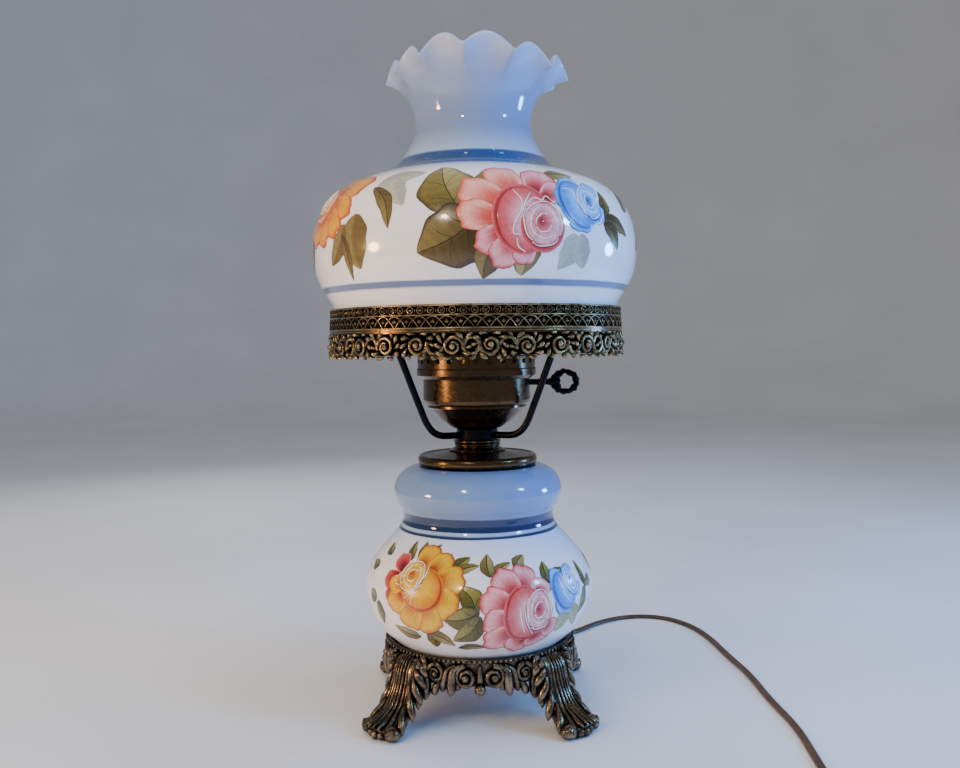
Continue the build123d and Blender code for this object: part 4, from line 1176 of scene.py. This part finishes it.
def make_apron(build, side_angle):
    """A quarter of the apron: a drop bead between facing scrolls and pairs of hanging leaves."""

    def lay(points, lift):
        points = np.asarray(points, float)
        radius = 65.0 + np.asarray(lift) - (42.0 - points[..., 1]) * 0.03
        return around(side_angle + np.degrees(points[..., 0] / 66.0), radius, points[..., 1])

    def frond(points, thick, lift=1.2):
        line = lay(smooth_line(points, 8), lift)
        build.rib(line, drop_radii(len(line), thick, 0.3, 0.74))

    build.ball(lay((0, 30.4), 2.2), 3.9, rings=8, sides=12)
    frond([(0, 46.0), (0, 39.0), (0, 33.5)], 2.4)
    for edge in (-1, 1):
        for middle, radii, sweep, count, thick, boss, boss_radius, leaves in APRON_SCROLLS:
            curl = spiral((edge * middle[0], middle[1]), *radii, 95, edge * sweep, count)
            build.rib(lay(curl, np.linspace(0.8, 1.8, count)), np.linspace(*thick, count))
            build.ball(lay((edge * boss[0], boss[1]), 2.0), boss_radius, rings=7, sides=10)
            for points, leaf_thick, lift in leaves:
                frond([(edge * across, height) for across, height in points], leaf_thick, lift)


FOOT_OUTLINE = [
    (5.1, 38.0), (5.1, 42.0), (60.5, 42.0), (60.5, 45.0), (62.6, 48.0), (64.4, 50.0), (65.8, 49.6),
    (65.9, 48.2), (65.4, 46.0), (65.0, 42.0), (64.6, 36.0), (63.6, 31.5), (61.4, 31.5), (61.0, 38.0),
]


def make_foot():
    """The cast foot: a turned tray with a beaded rim, four aprons and four legs."""
    build = Build()
    build.revolve(FOOT_OUTLINE, 180)
    beads, bead_radius = 122, 1.25
    for index in range(beads):
        build.ball(around(index * 360.0 / beads, 66.3, 48.3), bead_radius, rings=6, sides=8)
    for quarter in range(4):
        make_apron(build, quarter * 90.0)
        make_leg(build, 45.0 + quarter * 90.0)
    for points in build.points:
        points[:, 2] = np.maximum(points[:, 2], 0.0)
    foot = build.piece("foot_scrollwork", [casting_material], "lamp", "antique_casting")
    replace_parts(foot, "foot_casting")


# ---- Key ----------------------------------------------------------------------------------


def make_key_bow():
    """A wreath of three twisted strands, thickest beside the switch key's stem, with leaf tips."""
    axis_height, middle = 227.5, 63.6
    strands, leaves = 3, 13
    build = Build()
    turn = np.linspace(0, TAU, 140)
    toward_stem = np.clip(-np.cos(turn), 0, 1)
    thick = 2.0 + 0.45 * np.abs(np.cos(turn)) + 1.3 * toward_stem**2 + 0.25 * np.sin(turn * 7)
    for strand in range(strands):
        twist = turn * 8 + strand * TAU / strands
        wide = 10.6 - thick + 0.45 * thick * np.cos(twist)
        high = 9.2 - thick + 0.45 * thick * np.cos(twist)
        depth = 1.2 * np.sin(twist)
        line = np.stack([middle + wide * np.cos(turn), depth, axis_height + high * np.sin(turn)], 1)
        build.tube(line, 0.5 * thick, sides=8, up=(0, 1, 0.01))
    for index in range(leaves):
        lobe = TAU * (index + 0.5) / leaves
        place = (middle + 9.4 * math.cos(lobe), 0.0, axis_height + 8.0 * math.sin(lobe))
        build.ball(place, 1.5 + 0.3 * math.sin(index * 2.4), (1.0, 1.1, 1.0), rings=6, sides=9)
    for edge in (-1, 1):
        build.ball((56.0, 0.0, axis_height + edge * 3.2), 2.2, (1.1, 0.9, 1.0), rings=7, sides=10)
    neck = [(along, 0, axis_height) for along in (49.0, 51.0, 53.6, 57.4)]
    build.tube(neck, [2.1, 2.2, 3.0, 2.4], sides=14)
    bow = build.piece("key_wreath", [dark_material], "key", "dark_metal")
    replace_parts(bow, "key_bow")


ROD_RADIUS = 2.4
ROD_ROUTE = [
    (9.0, 190.6), (22.0, 190.6), (30.0, 191.3), (36.2, 194.6), (41.0, 201.0), (45.6, 211.5),
    (50.2, 222.5), (54.8, 234.0), (59.4, 245.2), (62.4, 252.0), (66.0, 256.2), (72.0, 258.4),
    (84.0, 258.9), (92.4, 259.0), (95.8, 260.2), (96.6, 262.7),
]


def make_rods():
    """Three rods bent from the hub in a wide curve up past the burner, then out under the ring."""
    route = smooth_line(ROD_ROUTE, 6)
    for side, angle in (("left", -60.0), ("right", 60.0), ("back", 180.0)):
        build = Build()
        line = around(angle, route[:, 0], route[:, 1])
        across = around(angle + 90.0, 1.0, 0.0)
        build.tube(line, ROD_RADIUS, sides=16, up=across)
        rod = build.piece(f"bent_rod_{side}", [dark_material], "lamp", "dark_metal")
        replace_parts(rod, f"ring_arm_{side}")


ring_material = antique_metal("ring_brass", (10, 9, 7), (78, 66, 48), (182, 158, 116), 0.23)
make_band()
make_skirt()
make_foot()
make_key_bow()
make_rods()


# ---- Supply cord --------------------------------------------------------------------------

CORD_HEIGHT = 2.8
FLOOR = CORD_HEIGHT / 2 + 0.05
COIL_MIDDLE = (223.0, -194.0)
COLUMN_RADII = (27.0, 32.8)
LAYER = CORD_HEIGHT + 0.1
CORD_RUN = [
    (18.55, 57.10, 33.56), (33.24, 102.31, 26.88), (48.0, 122.0, 10.0), (65.0, 136.5, 2.6),
    (84.0, 150.0, FLOOR), (106.0, 177.0, FLOOR), (136.0, 195.5, FLOOR), (167.0, 192.0, FLOOR),
    (187.0, 166.0, FLOOR), (196.0, 129.0, FLOOR), (199.0, 84.0, FLOOR), (204.5, 38.0, FLOOR),
    (204.0, -12.0, FLOOR), (207.5, -62.0, FLOOR), (203.0, -110.0, FLOOR), (199.0, -162.0, FLOOR),
]
CORD_TAIL = [(236.5, -228.5, FLOOR), (248.5, -233.7, 4.0), (262.0, -238.0, 5.5)]


def smooth_step(value, start, stop):
    share = min(1.0, max(0.0, (value - start) / (stop - start)))
    return share * share * (3 - 2 * share)


def coil_points():
    """The coil's turns: three inside, bottom to top, then three and a quarter outside, down again.
    Each turn steps to the next layer in the same short sector, and the outer turns rise together
    where they lie across the stretch that comes in."""
    points_per_turn = 20
    inner_turns, outer_turns = 3, 3
    inner_radius, outer_radius = COLUMN_RADII
    steps = int((inner_turns + outer_turns + 0.25) * points_per_turn)
    points = []
    for step in range(1, steps):
        turned_by = 360.0 * step / points_per_turn
        turn, within = divmod(turned_by, 360.0)
        climb = smooth_step(within, 10.0, 70.0)
        outside = smooth_step(turned_by, 360.0 * inner_turns - 10.0, 360.0 * inner_turns + 50.0)
        if turn < inner_turns:
            layer = max(0.0, turn - 1 + climb)
        else:
            layer = max(0.0, inner_turns + outer_turns - turn - climb)
        over = smooth_step(within, 265.0, 300.0) - smooth_step(within, 350.0, 360.0) + (within < 15.0)
        hump = min(1.0, outside * over) if turn < inner_turns + outer_turns else 0.0
        radius = inner_radius + outside * (outer_radius - inner_radius)
        angle = math.radians(180.0 + turned_by)
        right, back = COIL_MIDDLE[0] + radius * math.cos(angle), COIL_MIDDLE[1] + radius * math.sin(angle)
        points.append((right, back, FLOOR + LAYER * (layer + hump)))
    return points


def spline_line(points):
    """Points read from one smooth spline through a cord's route."""
    curve = bpy.data.curves.new("cord_line", "CURVE")
    curve.dimensions = "3D"
    spline = curve.splines.new("NURBS")
    spline.points.add(len(points) - 1)
    for point, place in zip(spline.points, points):
        point.co = (*(c * MM for c in place), 1.0)
    spline.order_u = 3
    spline.use_endpoint_u = True
    spline.resolution_u = 14
    holder = bpy.data.objects.new("cord_line", curve)
    mesh = bpy.data.meshes.new_from_object(holder)
    line = np.array([v.co for v in mesh.vertices]) / MM
    bpy.data.objects.remove(holder)
    bpy.data.curves.remove(curve)
    bpy.data.meshes.remove(mesh)
    keep = np.concatenate([[True], np.linalg.norm(np.diff(line, axis=0), axis=1) > 0.05])
    return line[keep]


def make_cord():
    """The cord: two round cores side by side with a web between, along its whole route."""
    line = spline_line(CORD_RUN + coil_points() + CORD_TAIL)
    turn = full_turn(20)
    lobe, lobe_centre, web = 1.4, 1.3, 1.05
    reach = lobe_centre * np.abs(np.cos(turn)) + np.sqrt(lobe**2 - (lobe_centre * np.sin(turn)) ** 2)
    flat_web = np.where(np.abs(np.sin(turn)) > 0.65, web / np.maximum(np.abs(np.sin(turn)), 0.1), 0.0)
    reach = np.maximum(reach, flat_web)
    along = directions(line)
    side = np.cross(along, (0, 0, 1))
    side /= np.linalg.norm(side, axis=1)[:, None]
    lift = np.cross(side, along)
    sideways = side[:, None] * (reach * np.cos(turn))[None, :, None]
    upward = lift[:, None] * (reach * np.sin(turn))[None, :, None]
    build = Build()
    build.closed_grid(line[:, None] + sideways + upward)
    return build.piece("supply_cord", [cord_material], "lamp", "brown_cord"), line


def make_plug():
    """A flat moulded plug with a ribbed neck, finger ridges and a flat face behind its blades."""
    start = np.array(CORD_TAIL[-1])
    heading = start - np.array(CORD_TAIL[-2])
    heading[2] = 0
    heading /= np.linalg.norm(heading)
    side = np.array([heading[1], -heading[0], 0])
    # Distance along the plug from its neck, half width and half height
    stations = [
        (-11.0, 3.1, 2.0), (-9.0, 3.5, 2.4), (-7.6, 3.5, 2.4), (-7.2, 3.0, 1.9), (-6.4, 3.0, 1.9),
        (-6.0, 3.7, 2.7), (-4.6, 3.7, 2.7), (-4.2, 3.2, 2.2), (-3.4, 3.2, 2.2), (-3.0, 4.2, 3.1),
        (-1.0, 4.4, 3.4), (0.0, 5.2, 4.3), (3.0, 6.8, 4.8), (7.0, 9.0, 5.1), (10.0, 10.4, 5.3),
    ]
    for index in range(5):
        place = 11.0 + index * 2.2
        stations += [(place, 10.8, 5.4), (place + 0.6, 10.4, 4.9), (place + 1.5, 10.4, 4.9)]
    stations += [(22.5, 10.9, 5.45), (26.0, 10.9, 5.45), (26.8, 10.6, 5.2), (27.0, 10.0, 4.7)]
    turn = full_turn(40)
    rows = []
    for along, wide, high in stations:
        power = 0.55 if along > 4 else 0.85
        across = swollen(np.cos(turn), power) * wide
        up = swollen(np.sin(turn), power) * high
        drop = np.clip(-along / 11.0, 0, 1) * 0.9
        rows.append(start + heading * along + np.outer(across, side) + np.outer(up - drop, (0, 0, 1)))
    build = Build()
    build.closed_grid(np.array(rows))
    plug = build.piece("moulded_plug", [plug_material], "lamp", "brown_plug")
    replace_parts(plug, "plug_body")
    return plug


def vinyl(name, colour, dark):
    finish = Finish(name, colour, 0.34, Specular_IOR_Level=0.5)
    finish.mottle(120.0, 5.0, 0.25, dark, 0.75, colour)
    finish.rough(300.0, 0.26, 0.46)
    finish.grain(1400.0, 2.0, 0.15, 0.0002)
    return finish.material


cord_material = vinyl("brown_vinyl", (94, 63, 40), (56, 38, 25))
plug_material = vinyl("plug_vinyl", (80, 54, 35), (48, 33, 22))
cord, cord_line = make_cord()
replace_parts(cord, "cord_run", "cord_coil", "cord_tail")
plug = make_plug()


# ---- Finishes of the CAD nodes that show as they are --------------------------------------


def plain_metal(name, colour, roughness, scale=300.0):
    finish = Finish(name, colour, roughness, metallic=1.0)
    finish.mottle(scale, 5.0, 0.3, [max(0, c - 26) for c in colour], 0.7, colour)
    finish.rough(scale * 2, roughness - 0.06, roughness + 0.12)
    finish.grain(scale * 3, 2.0, 0.08, 0.0002)
    return finish.material


def plain_solid(name, colour, roughness, scale=300.0):
    finish = Finish(name, colour, roughness)
    finish.mottle(scale, 5.0, 0.3, [max(0, c - 20) for c in colour], 0.7, colour)
    finish.rough(scale * 2, max(0.05, roughness - 0.1), roughness + 0.1)
    finish.grain(scale * 4, 3.0, 0.25, 0.0002)
    return finish.material


def woven_strap():
    finish = Finish("woven_strap", (26, 26, 28), 0.7)
    weave = finish.node("ShaderNodeTexWave", Scale=900.0, Distortion=1.5)
    finish.join(finish.place(), weave.inputs["Vector"])
    finish.colour(finish.ramp(weave.outputs["Fac"], [(0.2, (14, 14, 16)), (0.8, (44, 44, 48))]))
    finish.bump(weave.outputs["Fac"], 0.5, 0.0003)
    return finish.material


def clear_glass():
    finish = Finish("bulb_clear_glass", (255, 255, 255), 0.02, Transmission_Weight=1.0, IOR=1.5)
    finish.rough(60.0, 0.01, 0.05)
    return finish.material


METALS = [
    ("plated_steel", (176, 176, 172), 0.3), ("bright_aluminium", (206, 206, 208), 0.28),
    ("socket_brass", (190, 152, 84), 0.3), ("filament_wire", (96, 92, 90), 0.4, 900.0),
]
SOLIDS = [
    ("black_vitrite", (24, 22, 26), 0.15), ("black_rubber", (34, 33, 33), 0.6),
    ("sleeve_card", (176, 150, 110), 0.8, 200.0), ("phenolic", (46, 30, 22), 0.35),
]
finishes = {
    "antique_brass": spun_material,
    "antique_casting": casting_material,
    "dark_metal": dark_material,
    **{metal[0]: plain_metal(*metal) for metal in METALS},
    "bulb_clear_glass": clear_glass(),
    **{solid[0]: plain_solid(*solid) for solid in SOLIDS},
    "brown_cord": cord_material,
    "brown_plug": plug_material,
    "tie_black": woven_strap(),
}
for subpart in frame["record"]["subparts"]:
    node = nodes[subpart["node"]]
    chosen = finishes.get(subpart["material_slot"])
    if chosen:
        for material_slot in node.material_slots:
            material_slot.material = chosen
